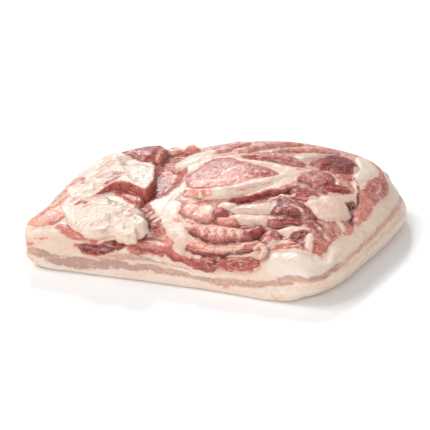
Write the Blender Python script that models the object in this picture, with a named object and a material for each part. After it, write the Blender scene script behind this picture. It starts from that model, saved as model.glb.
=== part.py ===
"""A raw pork belly slab: one thick sheet of fat and lean, trimmed to a rounded rectangle and lying
fat side down.

The slab is one closed solid. Its flat underside and its steep walls are swept round the outline of
the piece; its top is a smooth bed on which the folds, strips and flaps of meat stand up by their
own heights. Lengths are in millimetres until the mesh is made, X runs along the long front edge,
Y runs to the back and Z is up.
"""
import bpy
import numpy as np

MM = 0.001

# The size that everything is brought to: length, width and height of the lying slab.
LENGTH = 327.0
WIDTH = 231.0
HEIGHT = 64.0

# How finely the surfaces are divided.
TOP_COLUMNS = 66
TOP_ROWS = 46
WALL_ROWS = 8

# The rounding under the foot of the walls, and how much more the right wall is drawn in there.
FOOT_HEIGHT = 7.0
FOOT_INSET = 3.5
UNDERCUT_HEIGHT = 15.0
UNDERCUT_INSET = 14.0

# How far the bed of the top stands above its rim.
SHOULDER = 6.0
CROWN = 2.0

# The fat layers of the wall bulge and the lean streak between them is drawn in.
STREAK_HEIGHT = 13.0
STREAK_WIDTH = 5.0
STREAK_DEPTH = 1.6

# The widest outline, counter-clockwise from the front left corner, one list for each side (x, y).
SKIN = {
    "front": [(-152, -114), (-100, -113), (-40, -112), (20, -112), (68, -115)],
    "right": [(102, -109), (124, -83), (138, -46), (151, -8), (160, 28), (162, 60)],
    "back": [(151, 94), (112, 111), (50, 116), (-10, 115), (-70, 110), (-122, 94)],
    "left": [(-147, 68), (-157, 28), (-162, -20), (-166, -65), (-163, -100)],
}

# The rim where the walls turn over into the top (x, y, z).
RIM = {
    "front": [(-156, -106, 36), (-100, -102, 35), (-40, -99, 33), (20, -99, 31), (60, -102, 29)],
    "right": [(86, -92, 33), (101, -62, 38), (110, -30, 42), (121, 5, 46), (133, 40, 47),
              (139, 66, 45)],
    "back": [(129, 89, 49), (98, 101, 55), (40, 105, 59), (-10, 102, 55), (-66, 96, 43),
             (-114, 85, 41)],
    "left": [(-138, 66, 41), (-151, 25, 42), (-157, -20, 42), (-159, -60, 39), (-164, -92, 37)],
}

# Strips of meat and fat: centre line, half width and height above the bed; a negative height is
# a trough between them.
STRIPS = [
    ("back left knob", [(-64, 80), (-55, 80)], 6, 5),
    ("back pad, left", [(-38, 66), (-20, 80), (-4, 90)], 9, 3),
    ("back pad, middle", [(-8, 66), (14, 82), (44, 95)], 9, 3),
    ("back pad, right", [(30, 73), (56, 85), (86, 93)], 8, 2),
    ("back lens", [(4, 52), (22, 55), (40, 53), (58, 47)], 11, 4),
    ("back fat lump", [(54, 60), (64, 70), (72, 76)], 8, 2.5),
    ("maroon muscle", [(76, 57), (88, 64), (104, 62)], 16, 5),
    ("cream band", [(-14, 46), (16, 38), (48, 31), (64, 28)], 6, 2),
    ("channel", [(-76, 60), (-66, 20), (-62, -10), (-58, -36), (-56, -60), (-48, -94)], 14, -6),
    ("curled muscle", [(68, 22), (78, 30), (88, 22)], 13, 4),
    ("lower muscle", [(64, -4), (76, -5), (84, -6)], 9, 2.5),
    ("right muscle", [(92, 12), (102, 14), (112, 15)], 7, 2.5),
    ("crack", [(110, 47), (115, 38), (121, 20), (122, 0)], 5, -5),
    ("hollow of the rib", [(10, -36), (26, -33), (42, -20), (60, -4)], 9, -4),
    ("rib strap", [(-36, -34), (-14, -36), (0, -32), (14, -23), (30, -10), (44, 4), (68, 30)], 7, 7),
    ("third strip", [(18, -44), (34, -42), (50, -36), (62, -34)], 8, 5),
    ("third strip, lower", [(18, -57), (34, -56), (50, -53), (64, -47)], 6, 3),
    ("third strip muscle", [(56, -24), (64, -32), (78, -31), (90, -38)], 9, 5),
    ("speckled lump", [(-24, -51), (-12, -55), (0, -56)], 10, 3),
    ("red lump", [(2, -54), (7, -54)], 7, 4.5),
    ("small lump", [(9, -65), (21, -65)], 5, 3.5),
    ("fourth strip", [(-9, -81), (8, -80), (26, -78), (44, -71)], 9, 5),
    ("fourth knob", [(56, -74), (60, -76)], 9, 6),
    ("fifth strip", [(-8, -95), (12, -95), (34, -92), (52, -84)], 6, 4),
    ("right front mound", [(66, -96), (88, -89), (106, -78)], 14, 3),
]

# Broad lumps and flaps: outline, width of the rounded edge and height above the bed.
FLAPS = [
    ("back left muscle", [(-128, 46), (-118, 62), (-108, 76), (-94, 84), (-84, 78), (-82, 60),
                          (-84, 40), (-96, 34), (-112, 34)], 9, 7),
    ("lean wedge", [(-42, 2), (-33, 32), (-16, 45), (14, 34), (42, 22), (34, 8), (4, -16),
                    (-28, -24), (-38, -14)], 6, 3.5),
    ("patch of fat", [(-49, -30), (-36, -26), (-27, -42), (-26, -61), (-10, -79), (-25, -92),
                      (-46, -77), (-62, -62), (-54, -42)], 6, -1.5),
    ("upper flap", [(-110, -36), (-90, -30), (-69, -38), (-70, -10), (-80, 20), (-92, 27),
                    (-112, 36), (-130, 44), (-143, 34), (-147, 0), (-140, -38), (-122, -46)], 6, 8),
    ("foot of the upper flap", [(-113, -33), (-88, -31), (-70, -40), (-70, -50), (-79, -51),
                                (-102, -39)], 4, 5),
    ("front flap", [(-140, -66), (-126, -44), (-104, -43), (-86, -52), (-66, -68), (-58, -78),
                    (-51, -92), (-56, -99), (-112, -99), (-130, -84)], 8, 9),
    ("right flap", [(79, -22), (90, 0), (98, -4), (107, -12), (112, -24), (114, -38), (101, -37),
                    (90, -31)], 5, 4),
]


def soft_step(low, high, value):
    """Rise smoothly from 0 at low to 1 at high."""
    share = np.clip((value - low) / (high - low), 0, 1)
    return share * share * (3 - 2 * share)


def closed_curve(sides, counts):
    """Spread points evenly along each side of the closed Catmull-Rom curve through all points."""
    knots = np.array([point for side in sides.values() for point in side], float)
    t = np.linspace(0, 1, 32, endpoint=False)[:, None]
    spans = []
    for i in range(len(knots)):
        a, b, c, d = knots[i - 1], knots[i], knots[(i + 1) % len(knots)], knots[(i + 2) % len(knots)]
        spans.append(0.5 * (2 * b + (c - a) * t + (2 * a - 5 * b + 4 * c - d) * t ** 2
                            + (3 * b - a - 3 * c + d) * t ** 3))
    curves = []
    first = 0
    for side, count in zip(sides.values(), counts):
        last = first + len(side)
        line = np.vstack(spans[first:last] + [spans[last % len(knots)][:1]])
        steps = np.linalg.norm(np.diff(line, axis=0), axis=1)
        length = np.concatenate([[0], np.cumsum(steps)])
        even = np.linspace(0, length[-1], count + 1)[:-1]
        curves.append(np.stack([np.interp(even, length, axis) for axis in line.T], axis=1))
        first = last
    return curves


def coons_patch(front, right, back, left):
    """Fill the four boundary curves: the two ruled surfaces added, less the corners' bilinear."""
    near = np.vstack([front, right[:1]])
    east = np.vstack([right, back[:1]])
    far = np.vstack([back, left[:1]])[::-1]
    west = np.vstack([left, front[:1]])[::-1]
    u = np.linspace(0, 1, len(near))[:, None, None]
    v = np.linspace(0, 1, len(east))[None, :, None]
    ruled = (1 - v) * near[:, None] + v * far[:, None] + (1 - u) * west[None] + u * east[None]
    corners = ((1 - u) * (1 - v) * near[0] + u * (1 - v) * near[-1]
               + (1 - u) * v * far[0] + u * v * far[-1])
    return ruled - corners


def distance_to_line(points, line, closed=False):
    """Give each point's distance to the nearest stretch of a line of knots."""
    knots = np.array(line, float)
    ends = np.roll(knots, -1, axis=0) if closed else knots[1:]
    nearest = np.full(points.shape[:-1], np.inf)
    for a, b in zip(knots, ends):
        along = np.clip((points - a) @ (b - a) / ((b - a) @ (b - a)), 0, 1)
        gap = np.linalg.norm(points - a - along[..., None] * (b - a), axis=-1)
        nearest = np.minimum(nearest, gap)
    return nearest


def inside(points, outline):
    """Tell which points lie inside an outline, by counting the edges that a ray to +X crosses."""
    knots = np.array(outline, float)
    x, y = points[..., 0], points[..., 1]
    crossings = np.zeros(x.shape, int)
    for a, b in zip(knots, np.roll(knots, -1, axis=0)):
        spans = (a[1] > y) != (b[1] > y)
        reach = a[0] + (y - a[1]) * (b[0] - a[0]) / np.where(b[1] == a[1], 1, b[1] - a[1])
        crossings += spans & (x < reach)
    return crossings % 2 == 1


def relief(points):
    """Add up the heights of the strips and flaps; where two overlap, the later one covers."""
    height = np.zeros(points.shape[:-1])
    for _name, line, half_width, rise in STRIPS:
        depth = np.clip(1 - distance_to_line(points, line) / half_width, 0, 1)
        cover = np.sin(0.5 * np.pi * np.clip(2 * depth, 0, 1))
        height = height * (1 - cover) + rise * np.sin(0.5 * np.pi * depth) ** 0.5 * cover
    for _name, outline, edge, rise in FLAPS:
        gap = distance_to_line(points, outline, closed=True)
        depth = np.where(inside(points, outline), gap, 0)
        cover = np.sin(0.5 * np.pi * np.clip(depth / edge, 0, 1))
        height = height * (1 - cover) + rise * cover
    return height


def slab_surfaces():
    """Give the grid of the top and the rings of the wall, bottom ring first, in millimetres."""
    counts = (TOP_COLUMNS - 1, TOP_ROWS - 1, TOP_COLUMNS - 1, TOP_ROWS - 1)
    rim_sides = closed_curve(RIM, counts)
    rim = np.vstack(rim_sides)
    skin = np.vstack(closed_curve(SKIN, counts))

    top = coons_patch(*rim_sides)
    u = np.linspace(-1, 1, TOP_COLUMNS)[:, None]
    v = np.linspace(-1, 1, TOP_ROWS)[None, :]
    off_rim = (1 - np.abs(u) ** 9) * (1 - np.abs(v) ** 7)
    crown = np.cos(0.5 * np.pi * u) * np.cos(0.5 * np.pi * v)
    top[..., 2] += SHOULDER * off_rim + CROWN * crown
    top[..., 2] += relief(top[..., :2]) * off_rim

    tangent = np.roll(skin, -1, axis=0) - np.roll(skin, 1, axis=0)
    outward = np.stack([tangent[:, 1], -tangent[:, 0]], axis=1)
    outward /= np.linalg.norm(outward, axis=1)[:, None]
    share = np.linspace(0, 1, WALL_ROWS + 1)[:-1, None]
    z = rim[None, :, 2] * share
    right_wall = soft_step(-0.05, 0.45, outward[:, 0]) * (1 - 0.5 * soft_step(20, 70, skin[:, 1]))
    left_corner = 0.6 * soft_step(128, 162, -skin[:, 0]) * soft_step(50, 100, -skin[:, 1])
    foot_height = FOOT_HEIGHT + UNDERCUT_HEIGHT * (right_wall + left_corner)
    foot_inset = FOOT_INSET + UNDERCUT_INSET * (right_wall + left_corner)
    foot = foot_inset * (1 - np.sqrt(1 - (1 - np.clip(z / foot_height, 0, 1)) ** 2))
    streak = np.exp(-((z - STREAK_HEIGHT) / STREAK_WIDTH) ** 2)
    inset = foot + STREAK_DEPTH * streak
    lean_in = np.clip((z - foot_height) / (rim[None, :, 2] - foot_height), 0, 1) ** 1.2
    plan = ((skin[None] - inset[..., None] * outward[None]) * (1 - lean_in[..., None])
            + rim[None, :, :2] * lean_in[..., None])
    wall = np.dstack([plan, z])
    return top, wall


def slab_mesh(name):
    """Join the top, the wall and the flat underside into one closed mesh with faces pointing out."""
    top, wall = slab_surfaces()
    columns, rows = top.shape[:2]
    top_index = np.arange(columns * rows).reshape(columns, rows)
    edge = np.concatenate([top_index[:-1, 0], top_index[-1, :-1],
                           top_index[:0:-1, -1], top_index[0, :0:-1]])
    around = wall.shape[1]
    wall_index = columns * rows + np.arange(wall.shape[0] * around).reshape(-1, around)
    rings = np.vstack([wall_index, edge[None]])

    faces = []
    a, b = top_index[:-1, :-1].ravel(), top_index[1:, :-1].ravel()
    c, d = top_index[1:, 1:].ravel(), top_index[:-1, 1:].ravel()
    faces += np.stack([a, b, c, d], axis=1).tolist()
    lower, upper = rings[:-1], rings[1:]
    a, b = lower.ravel(), np.roll(lower, -1, axis=1).ravel()
    c, d = np.roll(upper, -1, axis=1).ravel(), upper.ravel()
    faces += np.stack([a, b, c, d], axis=1).tolist()
    faces.append(wall_index[0, ::-1].tolist())

    points = np.vstack([top.reshape(-1, 3), wall.reshape(-1, 3)])
    low, high = points.min(axis=0), points.max(axis=0)
    points -= np.array([(low[0] + high[0]) / 2, (low[1] + high[1]) / 2, low[2]])
    points *= np.array([LENGTH, WIDTH, HEIGHT]) / (high - low)
    mesh = bpy.data.meshes.new(name)
    mesh.from_pydata((points * MM).tolist(), [], faces)
    mesh.shade_smooth()
    return mesh


def meat_material(name):
    """Make the moist, pink and cream surface of raw belly as one averaged colour."""
    material = bpy.data.materials.new(name)
    material.use_nodes = True
    shader = material.node_tree.nodes["Principled BSDF"]
    shader.inputs["Base Color"].default_value = (0.72, 0.42, 0.35, 1.0)
    shader.inputs["Roughness"].default_value = 0.45
    shader.inputs["Metallic"].default_value = 0.0
    material.diffuse_color = (0.72, 0.42, 0.35, 1.0)
    return material


def build():
    """Clear the scene and place the slab with the middle of its underside on the origin."""
    for old in list(bpy.data.objects):
        bpy.data.objects.remove(old, do_unlink=True)
    slab = bpy.data.objects.new("belly_slab", slab_mesh("belly_slab"))
    slab.data.materials.append(meat_material("raw_belly"))
    bpy.context.scene.collection.objects.link(slab)


build()
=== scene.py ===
# %% [markdown]
# # A raw pork belly slab
# Pork belly is a sheet cut from the pig's underside. Fat and lean lie in it in layers, and where
# the ribs were lifted out, its upper side is left with strips, folds and flaps of meat. This
# lesson builds one slab as surfaces worked out with numpy, paints the tissues onto them as
# numbers at each point, and turns those numbers into colour and gloss in one material.

# %% Open the frame
import bpy
import numpy as np
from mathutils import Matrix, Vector


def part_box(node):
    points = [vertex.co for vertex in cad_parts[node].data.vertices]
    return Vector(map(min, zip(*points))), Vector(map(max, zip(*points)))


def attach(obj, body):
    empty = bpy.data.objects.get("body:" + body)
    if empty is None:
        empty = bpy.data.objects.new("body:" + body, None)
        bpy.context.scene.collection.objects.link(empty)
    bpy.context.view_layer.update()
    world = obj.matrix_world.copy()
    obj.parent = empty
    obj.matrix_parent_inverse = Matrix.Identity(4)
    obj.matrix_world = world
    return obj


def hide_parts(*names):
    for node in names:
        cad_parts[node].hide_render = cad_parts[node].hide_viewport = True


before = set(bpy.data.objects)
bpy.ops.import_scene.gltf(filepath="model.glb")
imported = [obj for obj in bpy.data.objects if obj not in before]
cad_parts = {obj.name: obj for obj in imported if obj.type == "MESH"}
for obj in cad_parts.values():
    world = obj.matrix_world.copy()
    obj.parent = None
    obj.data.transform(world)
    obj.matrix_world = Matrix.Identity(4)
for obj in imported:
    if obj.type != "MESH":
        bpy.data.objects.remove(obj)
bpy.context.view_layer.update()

MM = 0.001

# %% [markdown]
# ## The studio
# The slab lies on a white table with an even white surround. A large soft light stands high on
# its left, a weaker one fills the front wall, and a small one behind puts wet glints on the meat.
# A long lens looks down on it at about 26 degrees, from the right of its long front edge.

# %% Camera
CAMERA_AZIMUTH = 15.5
CAMERA_ELEVATION = 26.0
CAMERA_DISTANCE = 1.07
CAMERA_TARGET = (-0.011, -0.003, 0.020)
LENS_MM = 94.0

scene = bpy.context.scene
azimuth, elevation = np.radians([CAMERA_AZIMUTH, CAMERA_ELEVATION])
backwards = Vector((np.sin(azimuth) * np.cos(elevation),
                    -np.cos(azimuth) * np.cos(elevation),
                    np.sin(elevation)))
camera_data = bpy.data.cameras.new("camera")
camera_data.lens = LENS_MM
camera_data.sensor_width = 36.0
camera = bpy.data.objects.new("camera", camera_data)
camera.location = Vector(CAMERA_TARGET) + backwards * CAMERA_DISTANCE
camera.rotation_euler = backwards.to_track_quat("Z", "Y").to_euler()
scene.collection.objects.link(camera)
scene.camera = camera
scene.view_settings.view_transform = "Standard"
print("camera at", tuple(round(c, 3) for c in camera.location))


# %% Floor and light
def plain_material(name, colour, roughness):
    """Make a one-colour material for the studio."""
    material = bpy.data.materials.new(name)
    material.use_nodes = True
    shader = material.node_tree.nodes["Principled BSDF"]
    shader.inputs["Base Color"].default_value = (*colour, 1.0)
    shader.inputs["Roughness"].default_value = roughness
    return material


floor_mesh = bpy.data.meshes.new("floor")
floor_mesh.from_pydata([(-6, -6, 0), (6, -6, 0), (6, 6, 0), (-6, 6, 0)], [], [(0, 1, 2, 3)])
floor_mesh.materials.append(plain_material("white_table", (0.99, 0.99, 0.99), 0.9))
floor = bpy.data.objects.new("floor", floor_mesh)
scene.collection.objects.link(floor)

world = bpy.data.worlds.new("white_surround")
world.use_nodes = True
world.node_tree.nodes["Background"].inputs["Color"].default_value = (1.0, 1.0, 1.0, 1.0)
world.node_tree.nodes["Background"].inputs["Strength"].default_value = 0.40
scene.world = world


def far_light(name, energy, angle, direction, colour=(1.0, 1.0, 1.0)):
    """Add a light from far away in a direction; its angle in degrees makes its shadows soft."""
    data = bpy.data.lights.new(name, "SUN")
    data.energy = energy
    data.angle = np.radians(angle)
    data.color = colour
    light = bpy.data.objects.new(name, data)
    light.rotation_euler = Vector(direction).to_track_quat("Z", "Y").to_euler()
    scene.collection.objects.link(light)


far_light("soft_key", 1.55, 34, (-0.85, 0.05, 0.95), (1.0, 0.985, 0.965))
far_light("front_fill", 1.34, 60, (0.08, -1.0, 0.42))
far_light("back_glint", 1.1, 9, (-0.45, 1.0, 0.80))
print("studio has a floor, a surround and three lights")


# %% [markdown]
# ## Tools for soft shapes
# Meat has no straight lines. Three small tools make everything below: a smooth curve through a
# few given points, a field of smooth lumps, and a step with soft ends. Each works on whole
# arrays at once.

# %% Curves, lumps and soft steps
def smooth_path(knots, per_span=6):
    """Catmull-Rom curve through the knots: on each span, a cubic whose slope at a knot is half the
    step between the knots beside it. Any columns after x, y, z, such as a radius, ride along."""
    knots = np.asarray(knots, float)
    before = np.vstack([2 * knots[0] - knots[1], knots])[:-1]
    after = np.vstack([knots, 2 * knots[-1] - knots[-2]])[2:]
    t = np.linspace(0, 1, per_span, endpoint=False)[None, :, None]
    a, b, c, d = (k[:, None] for k in (before[:len(knots) - 1], knots[:-1], knots[1:],
                                       after[:len(knots) - 1]))
    curve = 0.5 * (2 * b + (c - a) * t + (2 * a - 5 * b + 4 * c - d) * t ** 2
                   + (3 * b - a - 3 * c + d) * t ** 3)
    return np.vstack([curve.reshape(-1, knots.shape[1]), knots[-1:]])


def lumps(points, size, seed):
    """Smooth noise from -1 to 1 with lumps about `size` wide: random values on the corners of a
    cubic lattice, blended across each cell by the fade curve 3t^2 - 2t^3. Each seed turns the
    lattice its own way, so that fields added together show no squares."""
    turn, _ = np.linalg.qr(np.random.default_rng(seed).normal(size=(3, 3)))
    at = points / size @ turn + 31.7 * seed
    cell = np.floor(at).astype(np.int64)
    t = at - cell
    t = t * t * (3 - 2 * t)
    total = np.zeros(points.shape[:-1])
    for dx, dy, dz in np.ndindex(2, 2, 2):
        x, y, z = cell[..., 0] + dx, cell[..., 1] + dy, cell[..., 2] + dz
        key = (x * 73856093) ^ (y * 19349663) ^ (z * 83492791) ^ (seed * 2654435761)
        key = (key ^ (key >> 13)) * 1274126177 & 0xFFFFFFFF
        value = (key ^ (key >> 16)) % 65536 / 32767.5 - 1
        weight = (np.abs(1 - dx - t[..., 0]) * np.abs(1 - dy - t[..., 1])
                  * np.abs(1 - dz - t[..., 2]))
        total += weight * value
    return total


def fade(low, high, value):
    """Smooth step: 0 below low, 1 above high, and 3t^2 - 2t^3 between."""
    t = np.clip((value - low) / (high - low), 0, 1)
    return t * t * (3 - 2 * t)


print("a test lump field spans", lumps(np.random.default_rng(1).random((999, 3)) * 9, 1, 1).std())


# %% [markdown]
# ## The body of the slab
# The body is swept from two closed curves: the widest outline near the table, and the rim where
# the walls turn over into the top. The walls join them, rounded under at the foot, and a patch
# stretched between the rim's four sides makes the bed of the top. One closed mesh keeps the
# shading whole over the rim.

# %% Outline and rim
SKIN = {
    "front": [(-152, -114), (-100, -113), (-40, -112), (20, -112), (68, -115)],
    "right": [(102, -109), (124, -83), (138, -46), (151, -8), (160, 28), (162, 60)],
    "back": [(151, 94), (112, 111), (50, 116), (-10, 115), (-70, 110), (-122, 94)],
    "left": [(-147, 68), (-157, 28), (-162, -20), (-166, -65), (-163, -100)],
}
RIM = {
    "front": [(-156, -106, 36), (-100, -102, 35), (-40, -99, 33), (20, -99, 31), (60, -102, 29)],
    "right": [(86, -92, 33), (101, -62, 38), (110, -30, 42), (121, 5, 46), (133, 40, 47),
              (139, 66, 45)],
    "back": [(129, 89, 49), (98, 101, 55), (40, 105, 59), (-10, 102, 55), (-66, 96, 43),
             (-114, 85, 41)],
    "left": [(-138, 66, 41), (-151, 25, 42), (-157, -20, 42), (-159, -60, 39), (-164, -92, 37)],
}
COLUMNS, ROWS, WALL_ROWS = 286, 196, 40


def closed_sides(sides, counts):
    """Catmull-Rom curve through all the points of the closed outline, cut at each side's first
    point; each side is spread evenly by its length."""
    knots = np.array([point for side in sides.values() for point in side], float)
    wrapped = np.vstack([knots[-2:], knots, knots[:3]])
    dense = smooth_path(wrapped, 24)[48:]
    cut = 24 * np.cumsum([0] + [len(side) for side in sides.values()])
    curves = []
    for first, last, count in zip(cut[:-1], cut[1:], counts):
        line = dense[first:last + 1]
        length = np.concatenate([[0], np.cumsum(np.linalg.norm(np.diff(line, axis=0), axis=1))])
        even = np.linspace(0, length[-1], count + 1)[:-1]
        curves.append(np.stack([np.interp(even, length, axis) for axis in line.T], axis=1))
    return curves


def coons_patch(front, right, back, left):
    """Fill four boundary curves: the surface ruled front to back, plus the one ruled left to
    right, less the bilinear surface of the four corners."""
    near = np.vstack([front, right[:1]])
    east = np.vstack([right, back[:1]])
    far = np.vstack([back, left[:1]])[::-1]
    west = np.vstack([left, front[:1]])[::-1]
    u = np.linspace(0, 1, len(near))[:, None, None]
    v = np.linspace(0, 1, len(east))[None, :, None]
    ruled = (1 - v) * near[:, None] + v * far[:, None] + (1 - u) * west[None] + u * east[None]
    corners = ((1 - u) * (1 - v) * near[0] + u * (1 - v) * near[-1]
               + (1 - u) * v * far[0] + u * v * far[-1])
    return ruled - corners


side_counts = (COLUMNS - 1, ROWS - 1, COLUMNS - 1, ROWS - 1)
rim_sides = closed_sides(RIM, side_counts)
rim = np.vstack(rim_sides)
skin = np.vstack(closed_sides(SKIN, side_counts))
print("rim of", len(rim), "points")

# %% Bed of the top
SHOULDER, CROWN = 6.0, 2.0
top = coons_patch(*rim_sides)
across = np.linspace(-1, 1, COLUMNS)[:, None]
deep = np.linspace(-1, 1, ROWS)[None, :]
off_rim = (1 - np.abs(across) ** 9) * (1 - np.abs(deep) ** 7)
top[..., 2] += SHOULDER * off_rim + CROWN * np.cos(np.pi / 2 * across) * np.cos(np.pi / 2 * deep)
print("bed from", top[..., 2].min().round(1), "to", top[..., 2].max().round(1), "mm high")

# %% Walls
tangent = np.roll(skin, -1, axis=0) - np.roll(skin, 1, axis=0)
outward = np.stack([tangent[:, 1], -tangent[:, 0]], axis=1)
outward /= np.linalg.norm(outward, axis=1)[:, None]
undercut = (fade(-0.05, 0.45, outward[:, 0]) * (1 - 0.5 * fade(20, 70, skin[:, 1]))
            + 0.6 * fade(128, 162, -skin[:, 0]) * fade(50, 100, -skin[:, 1]))
foot_height, foot_inset = 7.0 + 15.0 * undercut, 3.5 + 14.0 * undercut
wall_z = rim[None, :, 2] * np.linspace(0, 1, WALL_ROWS + 1)[:-1, None]
foot = foot_inset * (1 - np.sqrt(1 - (1 - np.clip(wall_z / foot_height, 0, 1)) ** 2))
lean_in = np.clip((wall_z - foot_height) / (rim[None, :, 2] - foot_height), 0, 1)[..., None] ** 1.2
wall_plan = ((skin[None] - foot[..., None] * outward[None]) * (1 - lean_in)
             + rim[None, :, :2] * lean_in)
wall = np.dstack([wall_plan, wall_z])
print("wall of", wall.shape[0], "rings")

# %% Join them into one closed skin
under_ring = wall[0].copy()
under_ring[:, :2] -= 2.0 * outward
around = len(rim)
top_index = np.arange(COLUMNS * ROWS).reshape(COLUMNS, ROWS)
edge_index = np.concatenate([top_index[:-1, 0], top_index[-1, :-1],
                             top_index[:0:-1, -1], top_index[0, :0:-1]])
wall_index = COLUMNS * ROWS + np.arange(WALL_ROWS * around).reshape(WALL_ROWS, around)
under_index = wall_index[-1, -1] + 1 + np.arange(around)
rings = np.vstack([under_index[None], wall_index, edge_index[None]])


def grid_quads(index, wrap):
    """The quads between neighbouring rows and columns of a grid of point numbers."""
    right = np.roll(index, -1, axis=1)
    last = index.shape[1] if wrap else index.shape[1] - 1
    corners = [index[:-1, :last], right[:-1, :last], right[1:, :last], index[1:, :last]]
    return np.stack([c.ravel() for c in corners], axis=1)


body_quads = np.vstack([grid_quads(top_index.T, False), grid_quads(rings, True)])
body_base = np.vstack([top.reshape(-1, 3), wall.reshape(-1, 3), under_ring])
low, high = (np.array(corner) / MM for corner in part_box("belly_slab"))
print(len(body_base), "points,", 2 * len(body_quads) + around - 2, "triangles")
print("base spans", np.ptp(body_base, axis=0).round(1), "in a CAD box of", (high - low).round(1))


# %% Normals and easing
def point_normals(points, quads):
    """Unit normal at each point: the sum of the cross products of its quads' diagonals."""
    a, b, c, d = (points[quads[:, k]] for k in range(4))
    face = np.cross(c - a, d - b)
    normal = np.zeros_like(points)
    for k in range(4):
        for axis in range(3):
            normal[:, axis] += np.bincount(quads[:, k], face[:, axis], len(points))
    return normal / (np.linalg.norm(normal, axis=1)[:, None] + 1e-12)


def ease(points, quads, amount, rounds):
    """Round off creases: each round moves every point towards the mean of its neighbours along
    the quads' edges, by its own amount."""
    tails = quads.ravel()
    heads = np.roll(quads, -1, axis=1).ravel()
    count = np.bincount(tails, minlength=len(points)) + np.bincount(heads, minlength=len(points))
    for _ in range(rounds):
        total = np.stack([np.bincount(tails, points[heads, axis], len(points))
                          + np.bincount(heads, points[tails, axis], len(points))
                          for axis in range(3)], axis=1)
        mean = total / np.maximum(count, 1)[:, None]
        points = points + np.asarray(amount)[:, None] * (mean - points)
    return points


print("up on the top:", point_normals(body_base, body_quads)[top_index[143, 98]].round(2))

# %% Round the rim
body_amount = np.zeros(len(body_base))
body_amount[top_index.ravel()] = 0.5 * (1 - fade(0, 14, np.minimum.outer(
    np.minimum(np.arange(COLUMNS), np.arange(COLUMNS)[::-1]),
    np.minimum(np.arange(ROWS), np.arange(ROWS)[::-1])))).ravel()
body_amount[wall_index] = 0.5 * fade(WALL_ROWS - 9, WALL_ROWS, np.arange(WALL_ROWS))[:, None]
body_base = ease(body_base, body_quads, body_amount, 30)
print("rim eased to", body_base[edge_index, 2].min().round(1), "mm at its lowest")




# %% [markdown]
# ## Laying the meat
# Every point carries a few numbers: how deep it lies in lean meat (below zero in fat), the tone of
# that meat from maroon to coral, how much silvery film covers it, the angle of its fibres, how
# many white specks it has, partly pale flecks and partly painted glints, and how far it stands
# up. Areas and thick strokes lay them down in order, as a painter would, so each tissue is one
# line with a few points in millimetres.

# %% Coats of tissue
FRONT = np.array([0.27, -0.96])


def new_coat(count, lean=-6.0, tone=0.5, film=0.0, fibre=20.0):
    """The tissue numbers of `count` points, the same all over to begin with."""
    start = {"lean": lean, "tone": tone, "film": film, "fibre": fibre, "speck": 0.3, "height": 0.0}
    return {name: np.full(count, float(value)) for name, value in start.items()}


def wander(points, amount=1.0):
    """Shift the points by lumps 14 and 5 mm wide, so that straight strokes get ragged edges."""
    broad = np.stack([lumps(points, 14, seed) for seed in (2, 3, 4)], axis=1)
    small = np.stack([lumps(points, 5, seed) for seed in (5, 6, 7)], axis=1)
    return points + amount * (1.7 * broad + 1.2 * small)


def settle(ground, path):
    """Give each (x, y, radius) of a path the height of the ground point nearest it in plan; an
    (x, y, z, radius) has its own."""
    knots = np.array([knot if len(knot) == 4 else (knot[0], knot[1], np.nan, knot[2])
                      for knot in path], float)
    gap = (ground[None, :, 0] - knots[:, :1]) ** 2 + (ground[None, :, 1] - knots[:, 1:2]) ** 2
    knots[:, 2] = np.where(np.isnan(knots[:, 2]), ground[gap.argmin(axis=1), 2], knots[:, 2])
    return knots


def stroke_depth(points, path):
    """How deep each point lies inside a thick stroke: the stroke's radius less the distance to its
    centre line, the most over all its short straight parts. Also how far the point's side of the
    stroke faces the front, from -1 to 1."""
    depth = np.full(len(points), -1e3)
    facing = np.zeros(len(points))
    for a, b in zip(path[:-1], path[1:]):
        step = b[:3] - a[:3]
        t = np.clip((points - a[:3]) @ step / (step @ step + 1e-9), 0, 1)
        offset = points - a[:3] - t[:, None] * step
        gap = np.linalg.norm(offset, axis=1)
        inside = a[3] + t * (b[3] - a[3]) - gap
        better = inside > depth
        depth[better] = inside[better]
        facing[better] = (offset[:, :2] @ FRONT / (gap + 1e-9))[better]
    return depth, facing


def area_depth(points, outline):
    """How deep each point lies inside a smooth closed outline of (x, y), seen in plan: its
    distance to the outline, below zero outside. Inside is where a ray crosses it an odd number
    of times. Also how far the nearest bit of outline faces the front, from -1 to 1."""
    loop = np.array(outline, float)
    edge = smooth_path(np.vstack([loop[-2:], loop, loop[:3]]), 5)[10:-10]
    start, step = edge[:-1], np.diff(edge, axis=0)
    offset = points[:, None, :2] - start[None]
    t = np.clip((offset * step).sum(axis=2) / ((step ** 2).sum(axis=1) + 1e-9), 0, 1)
    offset = offset - t[..., None] * step
    gap = np.linalg.norm(offset, axis=2)
    nearest = gap.argmin(axis=1)
    rows = np.arange(len(points))
    gap, offset = gap[rows, nearest], offset[rows, nearest]
    y = points[:, None, 1]
    crosses = (start[:, 1] > y) != (start[:, 1] + step[:, 1] > y)
    slope = step[:, 0] / np.where(step[:, 1] == 0, 1e-9, step[:, 1])
    to_right = points[:, None, 0] < start[:, 0] + (y - start[:, 1]) * slope
    depth = np.where((crosses & to_right).sum(axis=1) % 2 == 1, gap, -gap)
    return depth, -offset @ FRONT / (depth + np.copysign(1e-9, depth))


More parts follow.
